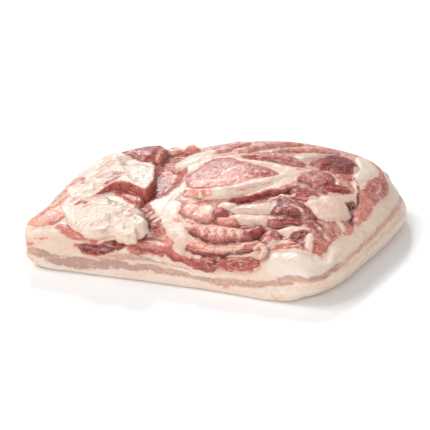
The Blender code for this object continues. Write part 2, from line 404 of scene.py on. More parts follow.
def lay(coat, points, ground, shape, tissue=None, tone=None, film=None, fibre=None, speck=None,
        stand=0.0, swell=0.0, edge=4.0, back=None, soft=1.3, crease=0.0, face=None):
    """Lay one tissue. A shape of (x, y) is an area, of (x, y, radius) a stroke on the ground, of
    (x, y, z, radius) a stroke in space. Lean joins what is there (the larger depth); fat cuts it
    away (the smaller of it and minus the depth); soft divides the depth, for a blurred border.
    Stand is a height that the tissue reaches over its edge, shaped like 1 - (1 - t)^2; back is
    that edge on the side away from the front, so that a strip can lean like a terrace. Swell is
    added, or sinks it. Crease_and_shade cuts a groove round it and paints shade into it as a dark
    line, deepest in front; face is the tone of lean meat that shows on the front of the step."""
    plan = np.array([knot[:2] for knot in shape], float)
    is_area = len(shape[0]) == 2
    path = plan if is_area else smooth_path(settle(ground, shape))
    reach = 9 if is_area else path[:, -1].max() + 8
    near = np.all((points[:, :2] > plan.min(axis=0) - reach)
                  & (points[:, :2] < plan.max(axis=0) + reach), axis=1)
    near = np.flatnonzero(near & (points[:, 2] > (22 if is_area else 1)))
    depth, facing = (area_depth if is_area else stroke_depth)(points[near], path)
    in_front = fade(-0.3, 0.5, facing)
    if tissue == "lean":
        coat["lean"][near] = np.maximum(coat["lean"][near], depth / soft)
    if tissue == "fat":
        coat["lean"][near] = np.minimum(coat["lean"][near], -depth / soft)
    for name, value in (("tone", tone), ("film", film), ("fibre", fibre), ("speck", speck)):
        if value is not None:
            coat[name][near] += (value - coat[name][near]) * fade(-0.8 * soft, 1.6 * soft, depth)
    reached = depth / (edge + ((back or edge) - edge) * (1 - in_front))
    pillow = stand * (1 - (1 - np.clip(reached, 0, 1)) ** 2)
    coat["height"][near] = np.where(pillow > 0, np.maximum(coat["height"][near], pillow),
                                    coat["height"][near]) + swell * fade(0, edge, depth)
    if face is not None:
        side = in_front * fade(-1.2, 0.0, depth) * (1 - fade(0.6 * edge, 1.0 * edge, depth))
        coat["lean"][near] += (2.5 - coat["lean"][near]) * side
        coat["tone"][near] += (face - coat["tone"][near]) * side
        coat["film"][near] *= 1 - side
    # Painted shade: a real groove round the tissue, whose colour is darkened as shade, most on its front side.
    if crease:
        line = crease * np.exp(-((depth + 0.6) / 1.4) ** 2) * (0.35 + 0.65 * in_front)
        coat["height"][near] -= 1.8 * line
        coat["lean"][near] = np.maximum(coat["lean"][near], 2.6 * line - 1.5)
        coat["tone"][near] *= 1 - 0.65 * line
        coat["film"][near] *= 1 - line
        coat["speck"][near] *= 1 - line


body_coat = new_coat(len(body_base))
body_at, body_calm = wander(body_base), wander(body_base, 0.4)
bed = body_base[top_index.ravel()]


def paint(shape, tissue=None, calm=False, **numbers):
    """Lay a tissue on the body, with ragged or calm edges; a stroke of (x, y, radius) lies on the
    bed of the top."""
    lay(body_coat, body_calm if calm else body_at, bed, shape, tissue, **numbers)


def along_wall(*knots):
    """A path round the walls from knots of (hundredths of the way round from the front left
    corner, height, radius), with as many steps between them as the outline needs."""
    knots = smooth_path(knots, 5)
    column = np.round(knots[:, 0] / 100 * around).astype(int) % around
    share = np.clip(knots[:, 1] / rim[column, 2] * WALL_ROWS, 0, WALL_ROWS - 1).astype(int)
    return np.column_stack([body_base[wall_index[share, column]], knots[:, 2]])


print("a coat has", ", ".join(new_coat(1)))

# %% The lean streak in the fat of the walls
STREAK = {"film": 0.8, "swell": -0.7, "edge": 3, "soft": 1.3, "fibre": 0}
paint(along_wall((0, 18, 4), (2, 14, 5), (5, 12, 6.5), (8, 13, 5.5), (10, 15, 5), (13, 15, 4),
                 (15, 14, 4), (17, 13, 3.6), (20, 12, 3.8), (23, 13.5, 3.8), (26, 16, 3.2), (28, 19, 3)),
      tone=0.9, **STREAK)
paint(along_wall((1, 16, 3), (4, 12, 6), (8, 13, 6), (12, 14, 3)), tone=1.1)
paint(along_wall((6, 17, 3), (10, 21, 3.6), (13, 22, 3.2), (15, 20, 2.6), (17, 17, 2.4), (19, 13, 2.5)),
      tone=0.85, **STREAK)
paint(along_wall((3, 16, 0.6), (7, 18, 1.0), (10, 18.5, 1.0), (14, 18.5, 1.1), (17, 15, 0.8)),
      tone=0.35, film=0.1, soft=0.8)
paint(along_wall((6, 10, 0.5), (9, 11, 0.8), (12, 12, 0.6)), tone=0.5, film=0.3, soft=0.8)
paint(along_wall((27, 20, 3.2), (29, 23, 3.4), (31, 24, 3.2), (34, 26, 3), (37, 27, 3), (40, 29, 3.2),
                 (43, 30, 3.6), (45, 29, 4), (48, 25, 4)), tone=0.82, calm=True, **STREAK)
paint(along_wall((48, 25, 4), (52, 20, 5), (57, 17, 4), (63, 19, 3.4), (68, 16, 5), (74, 14, 4.4),
                 (79, 17, 3.4)), tone=0.8, **STREAK)
paint(along_wall((79, 17, 3.4), (83, 15, 4.4), (88, 17, 5), (94, 19, 4), (100, 18, 4)),
      tone=0.85, **STREAK)
paint(along_wall((1, 4, 5), (8, 4, 4), (16, 6, 5), (24, 6, 6), (30, 8, 6)), tone=0.85)
paint(along_wall((8, 27, 3), (14, 26, 3), (20, 22, 3), (26, 23, 3)), tone=0.85)
for line in (((1, 11, 0.8), (5, 6, 1.2), (9, 6, 1.0), (14, 8, 0.9), (20, 6.5, 0.7)),
             ((4, 20, 0.6), (8, 23, 0.9), (12, 25, 0.8), (16, 22, 0.6)),
             ((21, 14, 0.5), (24, 17, 0.8), (27, 20, 0.5))):
    paint(along_wall(*line), film=0.55, tone=0.8, soft=0.9)
paint(along_wall((50, 38, 5), (56, 42, 7), (63, 40, 5), (70, 38, 6), (77, 36, 5)), "lean", tone=0.45,
      film=0.2, fibre=0, stand=1.5)
print("streak laid;", int((body_coat["lean"] > 0).sum()), "points are lean")

# %% Left end
paint([(-150, 40), (-130, 66), (-108, 40), (-96, 10), (-80, 0), (-76, -40), (-90, -90), (-130, -90),
       (-150, -40)], tone=0.9)
paint([(-164, -98), (-158, -80), (-154, -55), (-152, -30), (-150, -8), (-140, -12), (-136, -34),
       (-134, -55), (-131, -72), (-132, -88), (-138, -98), (-150, -104)], "lean", tone=0.62, film=0.05,
      fibre=78, stand=1, edge=6, speck=0.35)
paint([(-156, -58), (-155, -30), (-151, -8), (-143, -14), (-141, -38), (-146, -58)], tone=0.6,
      film=0.4, speck=0.7)
paint([(-164, -102), (-161, -88), (-150, -88), (-142, -98), (-148, -106)], tone=0.95, film=0.0)
paint([(-152, -84), (-148, -70), (-140, -72), (-142, -86)], tone=0.95, film=0.0, speck=0.6)
paint([(-152, -70, 1.2), (-148, -57, 1.6), (-143, -42, 1.2), (-141, -26, 0.8)], "fat", tone=0.8,
      swell=1, soft=1.6)
paint([(-150, -40, 2), (-147, -32, 2.5), (-146, -24, 1.5)], tone=0.75, film=0.0)
paint([(-162, -108, 33, 3), (-152, -108, 33, 4), (-140, -106, 34, 5), (-125, -103, 37, 5),
       (-116, -98, 39, 3)], "fat", tone=0.85, swell=2, edge=5)
paint([(-132, -100, 40, 3), (-124, -101, 38, 5), (-114, -104, 35, 5), (-104, -104, 33, 5),
       (-94, -102, 34, 4)], "lean", tone=0.55, fibre=0, stand=1, film=0.0)
paint([(-118, -107, 29, 0.8), (-105, -107, 29, 1.2), (-93, -105, 30, 1.4), (-82, -101, 36, 1.4)], "fat",
      tone=0.95, swell=1.4, edge=2)
# Maroon lean in the recess under the front flap: partly its own colour, partly painted shade; the next stroke paints
# the darkest shade right under the flap's edge.
paint([(-112, -107, 25, 2), (-102, -107, 24, 4.5), (-89, -106, 25, 6), (-77, -103, 29, 6),
       (-70, -101, 33, 5)], "lean", tone=0.2, film=0.1, fibre=0, swell=-2.5, edge=3)
paint([(-78, -103, 33, 2.5), (-72, -102, 31, 3), (-66, -102, 30, 2)], tone=0.0, swell=-3, edge=3)
paint([(-150, -109, 29, 1.0), (-141, -108, 30, 1.0), (-134, -107, 31, 0.8)], "lean", tone=1.0, soft=1.5)
paint([(-160, -109, 24, 1.4), (-152, -111, 24, 1.2)], "lean", tone=1.0, soft=2)
paint([(-160, -108, 12, 4), (-152, -112, 9, 4)], "fat", tone=0.35, swell=1.5)
print("left end laid")

# %% Channel between the flaps and the ribs
paint([(-88, 80), (-70, 86), (-50, 80), (-44, 62), (-47, 40), (-46, 24), (-43, 10), (-42, -4),
       (-46, -20), (-54, -38), (-62, -50), (-52, -60), (-44, -72), (-36, -84), (-24, -98), (-40, -104),
       (-62, -104), (-70, -90), (-72, -60), (-82, -30), (-86, 20), (-90, 50)], "lean", tone=0.42,
      film=0.12, fibre=42, swell=-6, edge=12, speck=0.5)
paint([(-76, 4), (-66, 10), (-52, 6), (-48, -6), (-56, -26), (-68, -42), (-78, -24)], tone=0.26,
      film=0.05, speck=0.25)
# Darker lean beside the front flap's right edge: partly its own tone, partly painted shade cast by the flap.
paint([(-60, -52), (-50, -62), (-44, -76), (-50, -96), (-64, -98), (-66, -74)], tone=0.16, film=0.0,
      speck=0.7)
paint([(-84, 70), (-66, 76), (-56, 60), (-62, 40), (-80, 42)], tone=0.36, film=0.1, speck=0.4)
paint([(-78, 24), (-70, 30), (-58, 20), (-52, 8), (-62, 8), (-72, 14)], tone=0.45, film=0.05, speck=1.0)
paint([(-66, 30), (-58, 34), (-54, 24), (-60, 18)], tone=0.6, film=0.1, speck=1.0)
paint([(-52, -84, 0.8), (-44, -90, 1.0), (-36, -92, 1)], "fat", tone=0.8, soft=1.3)
paint([(-74, -103, 31, 3), (-60, -102, 32, 4), (-45, -101, 33, 5), (-33, -100, 32, 5.5),
       (-22, -101, 29, 5.5), (-10, -104, 25, 5), (2, -106, 22, 4.5), (14, -107, 21, 4)], "lean", tone=0.5,
      film=0.0, fibre=-14, swell=1.5, edge=3, speck=0.1, soft=0.7)
paint([(-60, -103, 30, 2), (-44, -103, 29, 3), (-28, -103, 26, 3.4), (-12, -105, 23, 4),
       (2, -107, 20, 4.5), (16, -107, 20, 4)], tone=0.27, film=0.05, fibre=-14)
paint([(-76, -106, 25, 1.5), (-60, -106, 25, 1.6), (-40, -106, 23, 1.5), (-20, -108, 18, 1.4),
       (0, -109, 14, 1.5), (16, -109, 14, 1.5)], "fat", tone=1.1, film=0, swell=1, edge=2, soft=0.8)
paint([(-62, -100, 4), (-48, -98, 6), (-36, -96, 6), (-28, -96, 4)], tone=0.68, film=0.0, speck=0.8,
      fibre=70)
paint([(-47, -33), (-41, -24), (-35, -29), (-34, -38), (-27, -42), (-25, -50), (-26, -61), (-18, -70),
       (-10, -79), (-14, -91), (-21, -90), (-29, -81), (-37, -73), (-44, -66), (-49, -59), (-48, -51),
       (-47, -41)], "fat", tone=1.0, film=0.0, swell=1.5, edge=7, soft=1.0, speck=0)
feather = smooth_path([(-44, -22), (-46, -34), (-49, -46), (-51, -58), (-45, -67), (-36, -76),
                       (-26, -86)], 4)
for k, (x, y) in enumerate(feather):
    reach = 4.5 + 4 * np.sin(2.7 * k)
    paint([(x + 7, y + 4, 2.4), (x, y, 1.8), (x - reach, y - 0.6 * reach, 0.5)], "fat", tone=0.95, film=0.1,
          swell=0.5, edge=1.5, soft=1.0)
for knots in ([(-52, -46, 0.5), (-44, -44, 0.9), (-38, -46, 0.5)], [(-54, -58, 0.5), (-46, -58, 1.0)],
              [(-44, -34, 0.5), (-38, -38, 0.9), (-35, -44, 0.5)], [(-46, -68, 0.6), (-38, -66, 0.9), (-32, -68, 0.5)],
              [(-36, -52, 0.5), (-32, -60, 0.8)], [(-34, -76, 0.5), (-26, -78, 0.8)]):
    paint(knots, tone=0.15, film=0.45, swell=-0.9, edge=1.2, soft=0.9)
print("channel laid")

# %% Foot of the upper flap's cut edge
paint([(-113, -33), (-100, -30), (-88, -31), (-76, -36), (-70, -42), (-70, -50), (-79, -51), (-90, -45),
       (-102, -39)], "lean", tone=0.3, film=0.0, fibre=-20, stand=2, edge=3, speck=0.15)
print("foot of the cut edge laid")

# %% Back of the top
paint([(-50, 78), (-30, 96), (10, 102), (60, 102), (100, 100), (120, 90), (116, 60), (96, 40),
       (60, 40), (20, 40), (-20, 40), (-40, 58)], "lean", tone=0.6, film=0.5, fibre=12, speck=0.6)
BACK_PAD = {"tissue": "lean", "edge": 4, "back": 7, "crease": 0.35, "speck": 0.4}
paint([(-44, 66), (-34, 82), (-16, 94), (0, 90), (-8, 76), (-20, 64), (-34, 60)], tone=0.48,
      film=0.25, fibre=30, stand=2.5, **BACK_PAD)
paint([(-14, 66), (2, 82), (20, 94), (46, 98), (52, 92), (30, 84), (12, 72), (0, 62)], tone=0.5,
      film=0.3, fibre=25, stand=3, **BACK_PAD)
paint([(24, 70), (40, 84), (62, 96), (84, 98), (90, 88), (70, 82), (48, 74), (34, 66)], tone=0.42,
      film=0.3, fibre=20, stand=2, **BACK_PAD)
for knots, tone in (([(-22, 58, 1.4), (-10, 66, 1.8), (2, 76, 1.5), (16, 88, 1.3)], 0.6),
                    ([(0, 60, 1.8), (14, 67, 2.2), (26, 70, 2), (38, 78, 1.3)], 0.45),
                    ([(-30, 72, 0.8), (-18, 82, 1), (-6, 86, 0.8)], 0.5),
                    ([(10, 84, 0.8), (26, 90, 1), (40, 94, 0.7)], 0.6),
                    ([(40, 78, 0.9), (56, 86, 1.1), (74, 92, 0.9)], 0.5)):
    paint(knots, "fat", swell=0.7, edge=3, tone=tone, film=0.3, soft=1.4)
paint([(48, 56), (50, 66), (60, 76), (72, 80), (76, 72), (68, 62), (60, 54)], "fat", tone=0.45,
      film=0.5, stand=2, edge=5, swell=0.5, soft=1.6)
paint([(44, 76, 1.5), (52, 79, 2.6), (60, 82, 1.5)], "lean", tone=0.75, film=0)
paint([(-4, 46), (6, 58), (22, 63), (38, 62), (54, 56), (65, 47), (56, 42), (36, 44), (16, 44)],
      "lean", tone=0.3, film=0.1, fibre=4, stand=3.5, edge=5, back=7, crease=0.3, speck=0.3)
paint([(8, 53, 0.6), (26, 56, 0.8), (44, 54, 0.6)], "fat", tone=0.4, film=0.5, soft=1.6)
paint([(-20, 50), (-8, 50), (6, 44), (24, 42), (42, 40), (62, 36), (70, 28), (60, 22), (44, 26),
       (26, 32), (8, 36), (-12, 42)], "fat", tone=0.6, film=0.15, stand=2, edge=4, soft=1.5,
      speck=0.2)
paint([(20, 34, 1.5), (40, 31, 2), (58, 27, 1.5)], tone=0.3, film=0.7, soft=1.6)
paint([(36, 36, 0.7), (50, 34, 0.9), (62, 30, 0.6)], "lean", tone=0.7, film=0.3, soft=1.5)
paint([(66, 52), (74, 66), (82, 78), (96, 81), (107, 75), (113, 62), (112, 52), (104, 45), (92, 44),
       (78, 46)], "lean", tone=0.08, film=0.03, fibre=20, stand=4.5, edge=7, crease=0.35, speck=0.1)
paint([(66, 50), (72, 60), (78, 66), (84, 60), (80, 50)], tone=0.25, film=0.1)
paint([(92, 38), (98, 44), (108, 46), (114, 40), (106, 32), (98, 32)], "lean", tone=0.45, film=0.1,
      fibre=40, stand=2, edge=4, crease=0.2)
paint([(-42, 2), (-38, 16), (-33, 32), (-27, 42), (-16, 45), (-2, 40), (14, 34), (30, 29), (42, 22),
       (36, 15), (20, 4), (4, -8), (-12, -16), (-30, -18), (-38, -12)], "lean", tone=0.36, film=0.0,
      fibre=75, stand=1.2, edge=10, back=8, soft=2.0, speck=0.5)
paint([(-38, 0), (-35, 16), (-27, 26), (-20, 12), (-24, -8)], tone=0.4, film=0.0, speck=0.3)
paint([(-32, -16), (-32, -4), (-16, 3), (2, 10), (20, 18), (34, 20), (30, 10), (8, -5), (-10, -15)],
      tone=0.6, film=0.0, swell=-0.5, edge=4, soft=2.4, speck=0.7)
for k in range(9):
    paint([(-34 + 8 * k, -8 + 2 * k, 0.5), (-30 + 8 * k, 6 + 1.5 * k, 1.0), (-28 + 8 * k, 16 + k, 0.5)],
          tone=0.16, film=0.0, swell=-1.1, edge=1.2, soft=1.1)
paint([(-22, -4), (-18, 4), (-10, 5), (-6, 0), (-12, -6)], tone=0.85, film=0.0, speck=0.3)
paint([(-18, -2, 1.6), (-10, 3, 1.4)], tone=0.6, film=0)
paint([(14, 14), (18, 26), (30, 24), (40, 20), (30, 13)], tone=0.35, film=0.15, fibre=10, speck=0.3)
for knots in ([(-20, 20, 0.7), (-12, 30, 1.0), (-6, 34, 0.6)], [(-8, 12, 0.7), (0, 22, 1.1), (4, 28, 0.7)],
              [(2, 10, 0.6), (8, 18, 1.0), (12, 24, 0.6)], [(-26, 28, 0.8), (-20, 36, 1.0)]):
    paint(knots, "fat", tone=0.8, film=0.3, soft=1.6, swell=0.4, edge=1.5)
paint([(-44, -14, 0.6), (-43, 0, 0.6), (-40, 14, 0.8), (-35, 28, 1.2), (-30, 40, 1.6)], "fat", tone=0.6,
      stand=1, edge=2, soft=0.9, speck=0)
paint([(-64, 30), (-60, 46), (-54, 62), (-40, 68), (-28, 60), (-26, 48), (-36, 38), (-46, 26),
       (-54, 22)], "fat", tone=0.8, film=0.1, stand=1.5, edge=8, swell=1, soft=1.8, speck=0)
paint([(-60, 36, 1.0), (-50, 44, 1.4), (-42, 50, 1.0)], tone=0.45, film=0.3, swell=-1, soft=1.5)
paint([(-40, 46, 1.2), (-32, 52, 2.0), (-26, 56, 1.4)], "lean", tone=0.9, soft=1.8)
paint([(-70, 12), (-62, 22), (-54, 20), (-58, 10), (-66, 6)], tone=0.55, film=0.1, speck=1.0)
print("back laid")

# %% Back left corner and ridge
paint([(-146, 34), (-130, 56), (-114, 74), (-98, 84), (-88, 66), (-104, 44), (-126, 28)], "fat",
      stand=5, edge=14, tone=0.8, film=0.2)
paint([(-132, 50), (-118, 66), (-106, 78), (-92, 84), (-84, 78), (-82, 60), (-84, 42), (-98, 38),
       (-114, 42)], "lean", tone=0.26, film=0.02, fibre=12, stand=6.5, edge=14, soft=1.4, speck=0.2)
paint([(-96, 84, 2), (-89, 72, 3.4), (-87, 56, 2.4), (-84, 42, 2)], "lean", tone=1.0, film=0.0,
      stand=6.5, edge=6, soft=1.8)
paint([(-92, 76, 0.8), (-87, 62, 1.0), (-86, 48, 0.8)], "fat", tone=0.3, film=0.0, soft=1.4)
# Painted shade: a dark sunk line along the front foot of the back-left muscle.
paint([(-108, 38, 1.4), (-94, 37, 2), (-84, 38, 1.6)], tone=0.12, film=0.0, swell=-1.5, edge=3)
paint([(-84, 78, 3), (-70, 84, 3), (-60, 82, 3)], "fat", stand=1, edge=3, tone=0.8)
paint([(-82, 82, 2.0), (-78, 84, 2.6), (-74, 84, 2.0)], "lean", tone=0.8, stand=3, edge=3)
paint([(-64, 80, 2.6), (-60, 81, 3.6), (-55, 80, 2.6)], "lean", tone=0.85, stand=6, edge=4)
print("back left laid")

# %% Middle of the top: hollow, third strip and lumps
paint([(-38, -38), (-20, -38), (0, -32), (20, -20), (40, -6), (58, 10), (68, 24), (96, 34), (112, 30),
       (118, 8), (122, -20), (112, -52), (104, -76), (90, -84), (60, -88), (40, -76), (10, -70),
       (-14, -72), (-28, -62), (-32, -50)], "lean", tone=0.42, film=0.35, fibre=20, speck=0.4)
paint([(-38, -39, 1.6), (-22, -42, 2.0), (-6, -40, 1.8), (6, -35, 1.4)], "lean", tone=0.9, film=0,
      swell=-1, edge=2)
# The hollow under the strap's front: sunk, and its lean darkened as painted shade.
paint([(6, -34), (14, -42), (26, -42), (40, -32), (52, -20), (64, -4), (66, 8), (52, 0), (38, -10),
       (24, -20), (12, -28)], tone=0.2, film=0.0, fibre=35, swell=-3.5, edge=5, speck=0)
paint([(-32, -48), (-24, -43), (-8, -43), (4, -44), (8, -56), (4, -64), (-4, -69), (-16, -65),
       (-28, -58)], "lean", tone=0.62, film=0.05, fibre=60, stand=2.5, edge=3, back=5, crease=0.35,
      speck=1.0)
for knots in ([(-26, -48, 0.8), (-20, -55, 1.0)], [(-18, -46, 0.8), (-12, -56, 1.1), (-10, -62, 0.7)],
              [(-24, -56, 0.6), (-16, -62, 0.9)]):
    paint(knots, "fat", tone=0.9, swell=0.6, edge=1, soft=1.3)
paint([(-12, -48), (-4, -44), (2, -50), (0, -58), (-6, -60), (-12, -54)], "fat", tone=1.0, swell=1.5,
      edge=4, soft=1.6)
paint([(0, -60), (-1, -50), (4, -46), (11, -49), (12, -56), (6, -62)], "lean", tone=0.28, film=0.0,
      fibre=0, stand=4.5, edge=4, crease=0.28, speck=0.1)
paint([(-4, -43, 1.8), (0, -44, 2.0)], "lean", tone=0.95, film=0)
paint([(0, -40), (4, -36), (12, -34), (18, -38), (16, -46), (8, -48), (2, -46)], "fat", tone=0.75,
      stand=3, edge=3, crease=0.28, speck=0)
paint([(14, -46), (20, -37), (34, -32), (48, -25), (60, -22), (67, -30), (62, -41), (48, -46),
       (32, -49), (20, -51)], "fat", calm=True, tone=0.6, film=0.7, stand=4.5, edge=4, back=8,
      crease=0.07, speck=0.1)
paint([(14, -56), (24, -50), (40, -47), (56, -42), (66, -40), (66, -51), (54, -58), (40, -61),
       (26, -63), (16, -61)], "fat", calm=True, tone=0.65, film=0.5, stand=3.2, edge=3, back=5,
      crease=0.21, speck=0.1)
paint([(20, -54, 0.5), (32, -50, 0.9), (46, -47, 1.2), (60, -42, 1.0)], "lean", tone=0.6, film=0,
      swell=-1, edge=1)
paint([(24, -58, 1.5), (36, -56, 2.0), (48, -53, 1.5)], tone=0.25, film=0.7, soft=1.5)
paint([(5, -62), (14, -58), (24, -60), (27, -66), (16, -71), (8, -69)], "lean", tone=0.62, film=0.0,
      stand=3.5, edge=2.5, back=4, crease=0.42, speck=0.3)
paint([(-30, -71, 2.0), (-26, -72, 2.2)], "lean", tone=0.85, film=0, soft=1.3)
print("middle laid")

# %% Middle of the top: muscles and the lower strips
paint([(50, -16), (56, -13), (66, -17), (76, -21), (85, -28), (92, -37), (88, -41), (78, -38), (68, -42),
       (58, -48), (51, -48), (50, -38), (54, -28)], "lean", tone=0.1, film=0.0, fibre=-30, stand=5,
      edge=4, back=7, crease=0.3, speck=0.2)
paint([(52, -17, 2.4), (60, -18, 2.2), (68, -22, 1.4)], "fat", tone=0.8, film=0.1, swell=1.2, edge=2,
      soft=1.3)
paint([(66, -30, 1.0), (74, -33, 1.3), (82, -38, 1.0)], "fat", tone=0.6, film=0.4, soft=1.5)
paint([(50, -54), (58, -48), (68, -43), (78, -43), (78, -50), (68, -55), (56, -60)], "lean", tone=0.2,
      film=0.1, fibre=10, stand=2.5, edge=3, crease=0.5, speck=0.2)
paint([(-14, -79), (-6, -74), (8, -71), (22, -69), (36, -68), (46, -63), (50, -67), (46, -76), (36, -84),
       (24, -88), (8, -90), (-6, -87)], "lean", tone=0.55, film=0.15, fibre=80, stand=5, edge=4.5, back=7,
      crease=0.85, face=0.3, speck=0.9)
for x, y in ((-4, -78), (5, -77), (13, -77), (21, -76), (28, -75)):
    paint([(x, y, 1.0), (x + 1, y - 4, 1.7), (x + 3, y - 8, 1.1)], "fat", tone=0.85, film=0.2, swell=0.7,
          edge=2, soft=1.4)
paint([(32, -69), (46, -63), (49, -68), (44, -78), (34, -81)], tone=0.22, film=0.0, speck=0.2)
paint([(-17, -80, 1.6), (-12, -77, 2.2), (-7, -76, 1.6)], "lean", tone=0.8, film=0)
paint([(49, -80), (50, -72), (56, -66), (64, -68), (67, -74), (64, -82), (56, -85)], "lean", tone=0.33,
      film=0.08, stand=6, edge=6, crease=0.9, speck=0.6)
paint([(-24, -96), (-18, -86), (-6, -88), (12, -90), (32, -86), (46, -79), (40, -87), (20, -93),
       (-4, -93)], "fat", tone=0.85, swell=0.6, speck=0)
paint([(30, -91, 0.8), (40, -87, 1.2), (50, -80, 0.8)], "lean", tone=0.5, film=0)
paint([(-14, -94), (-8, -91), (6, -91), (20, -91), (34, -88), (46, -83), (57, -77), (59, -82),
       (48, -90), (36, -95), (20, -99), (2, -100), (-10, -99)], "lean", tone=0.78, film=0.12,
      fibre=8, stand=4, edge=3.5, back=4, crease=0.85, face=0.45, speck=0.6)
paint([(-6, -96, 1.0), (10, -97, 1.4), (26, -96, 1.2), (38, -91, 0.8)], "fat", tone=0.7, film=0.3,
      soft=1.5)
paint([(-22, -97, 32, 3), (-16, -99, 31, 2.4), (-4, -102, 27, 2.0), (12, -103, 27, 1.6),
       (27, -102, 29, 1.8), (40, -99, 32, 2.2)], "fat", tone=0.8, swell=1.2, edge=3)
LOBE = {"tissue": "lean", "film": 0.05, "fibre": 10, "stand": 3, "edge": 4, "crease": 0.6, "speck": 0.4}
paint([(4, -105, 25, 4), (11, -106, 25, 5.5), (17, -106, 25, 4.5)], tone=0.22, **LOBE)
paint([(23, -105, 26, 5), (33, -105, 26, 6.3), (44, -103, 27, 6.3), (51, -100, 28, 5)], tone=0.26, **LOBE)
paint([(24, -107, 21, 1.6), (36, -107, 21, 1.8), (48, -104, 23, 1.6)], tone=0.6, soft=1.5)
paint([(1, -108, 15, 1.6), (16, -108, 15, 2), (33, -108, 16, 2.4), (51, -107, 18, 2.4),
       (63, -105, 24, 3)], "fat", tone=0.7)
print("lower strips laid")

# %% Right end
paint([(60, 18), (66, 30), (76, 38), (88, 38), (95, 30), (96, 18), (90, 10), (80, 10), (72, 14)],
      "lean", tone=0.3, film=0.22, fibre=60, stand=4, edge=5, crease=0.33, speck=0.3)
paint([(74, 42, 1.4), (86, 40, 1.8), (95, 33, 2.0), (99, 22, 2.0), (97, 11, 1.6)], "fat", tone=0.6,
      film=0.3, swell=1.5, edge=2, soft=1.4)
paint([(58, -4), (62, 4), (76, 4), (86, 0), (88, -10), (78, -14), (64, -12)], "lean", tone=0.2,
      film=0.0, fibre=20, stand=2.5, edge=5, crease=0.39, speck=0.2)
paint([(70, -13, 1.2), (80, -12, 1.8), (87, -8, 1.5)], "lean", tone=0.85, film=0)
paint([(84, 10), (92, 21), (104, 22), (114, 16), (102, 7), (90, 4)], "lean", tone=0.15, film=0.05,
      fibre=20, stand=2.5, edge=4, crease=0.33, speck=0.2)
paint([(94, 4), (104, 9), (116, 14), (121, 6), (116, -1), (104, 0)], "fat", tone=0.2, film=0.5,
      edge=3, soft=1.4)
paint([(110, -4), (118, 4), (122, 0), (124, -14), (122, -28), (116, -20), (113, -10)], "lean", tone=0.08,
      film=0.12, fibre=60, swell=-3, edge=4)
paint([(112, -8, 0.8), (118, -9, 0.9), (122, -10, 0.8)], "fat", tone=0.6, film=0.4)
paint([(62, -10, 2.2), (54, -14, 2.6), (47, -20, 2.4)], "fat", tone=0.7, stand=2, edge=4, soft=1.3)
paint([(56, -12, 1.2), (50, -16, 1.4)], "lean", tone=0.85, soft=1.3)
paint([(62, -64), (68, -56), (84, -52), (90, -57), (80, -66), (68, -68)], "fat", tone=0.6, film=0.2,
      stand=1.5, edge=4, crease=0.33, soft=1.3)
paint([(74, -66), (80, -60), (90, -58), (92, -72), (88, -82), (78, -76)], "lean", tone=0.18, film=0.05,
      fibre=70, swell=-2, edge=4)
paint([(89, -60), (96, -60), (99, -72), (97, -84), (91, -82), (88, -70)], "fat", tone=0.6, film=0.2,
      stand=2, edge=4, crease=0.28, soft=1.5)
paint([(82, -42), (92, -41), (101, -50), (101, -58), (92, -52), (84, -48)], "lean", tone=0.2,
      film=0.05, fibre=-40, stand=2, edge=4, crease=0.28)
paint([(94, -62), (101, -58), (105, -68), (103, -80), (97, -84)], "lean", tone=0.5, film=0.2,
      fibre=60, stand=1.5, edge=4)
paint([(102, -48, 39, 4), (107, -46, 37, 5), (112, -44, 34, 5), (108, -52, 35, 4)], "lean", tone=0.45,
      film=0.2, fibre=60, soft=1.2, speck=0.6)
paint([(110, -26, 42, 4), (114, -30, 40, 5), (118, -36, 36, 5), (119, -28, 38, 4)], "lean", tone=0.6,
      film=0.2, fibre=60, soft=1.2, speck=0.6)
paint([(112, -44, 37, 1), (118, -46, 33, 1.2), (122, -48, 29, 0.8)], "fat", tone=0.8)
paint([(108, -30, 2.4), (113, -32, 3), (116, -37, 37, 2.2)], "fat", tone=0.85, swell=1.5, edge=3)
paint([(94, -50, 1.2), (102, -54, 1.6), (110, -58, 1.2)], "fat", tone=0.6, film=0.4, soft=1.5)
paint([(54, -84), (66, -74), (80, -74), (92, -78), (96, -83), (80, -88), (60, -89)], "lean", tone=0.5,
      film=0.1, fibre=30, stand=1.5, edge=4, crease=0.22, speck=0.7)
paint([(44, -96, 1.3), (56, -87, 1.9), (66, -80, 2.2), (74, -74, 1.6)], "fat", tone=0.6, film=0.35,
      stand=1.5, edge=2.5, soft=1.3)
paint([(58, -104), (62, -91), (73, -87), (84, -83), (94, -81), (105, -80), (110, -64), (122, -66),
       (116, -96), (92, -110)], "fat", tone=0.95, swell=3.5, edge=12, soft=1.0, speck=0)
paint([(104, 88), (112, 93), (127, 86), (132, 74), (129, 60), (125, 46), (122, 32), (118, 22), (113, 30),
       (110, 44), (109, 58), (111, 70), (106, 80)], "fat", tone=1.0, film=0.1, swell=1, edge=5, soft=1.3,
      speck=0)
paint([(128, 82), (136, 76), (143, 58), (142, 36), (137, 20), (131, 6), (126, 2), (122, 14), (124, 32),
       (126, 48), (132, 62), (132, 74)], "lean", calm=True, tone=0.4, film=0.3, fibre=80, soft=2.0, speck=0)
paint([(123, 22, 46, 5), (128, 16, 43, 7), (127, 4, 40, 7), (125, -9, 37, 6), (123, -20, 35, 4)], "lean",
      tone=0.66, film=0.3, fibre=80, soft=2.0, speck=0)
paint([(132, 60, 0.8), (136, 48, 1.0), (134, 34, 0.8)], "fat", tone=0.6, film=0.4, soft=1.4)
paint([(88, 97, 1.6), (104, 95, 2.2), (118, 90, 2.4), (130, 82, 2.6), (137, 68, 2.2)], "lean",
      tone=0.75, film=0.1)
paint([(110, 47, 0.8), (115, 38, 1.1), (119, 28, 1.2), (121, 20, 1.4), (122, 8, 1.6), (122, 0, 1.2)],
      "lean", tone=0.0, film=0, swell=-5, edge=2.5)
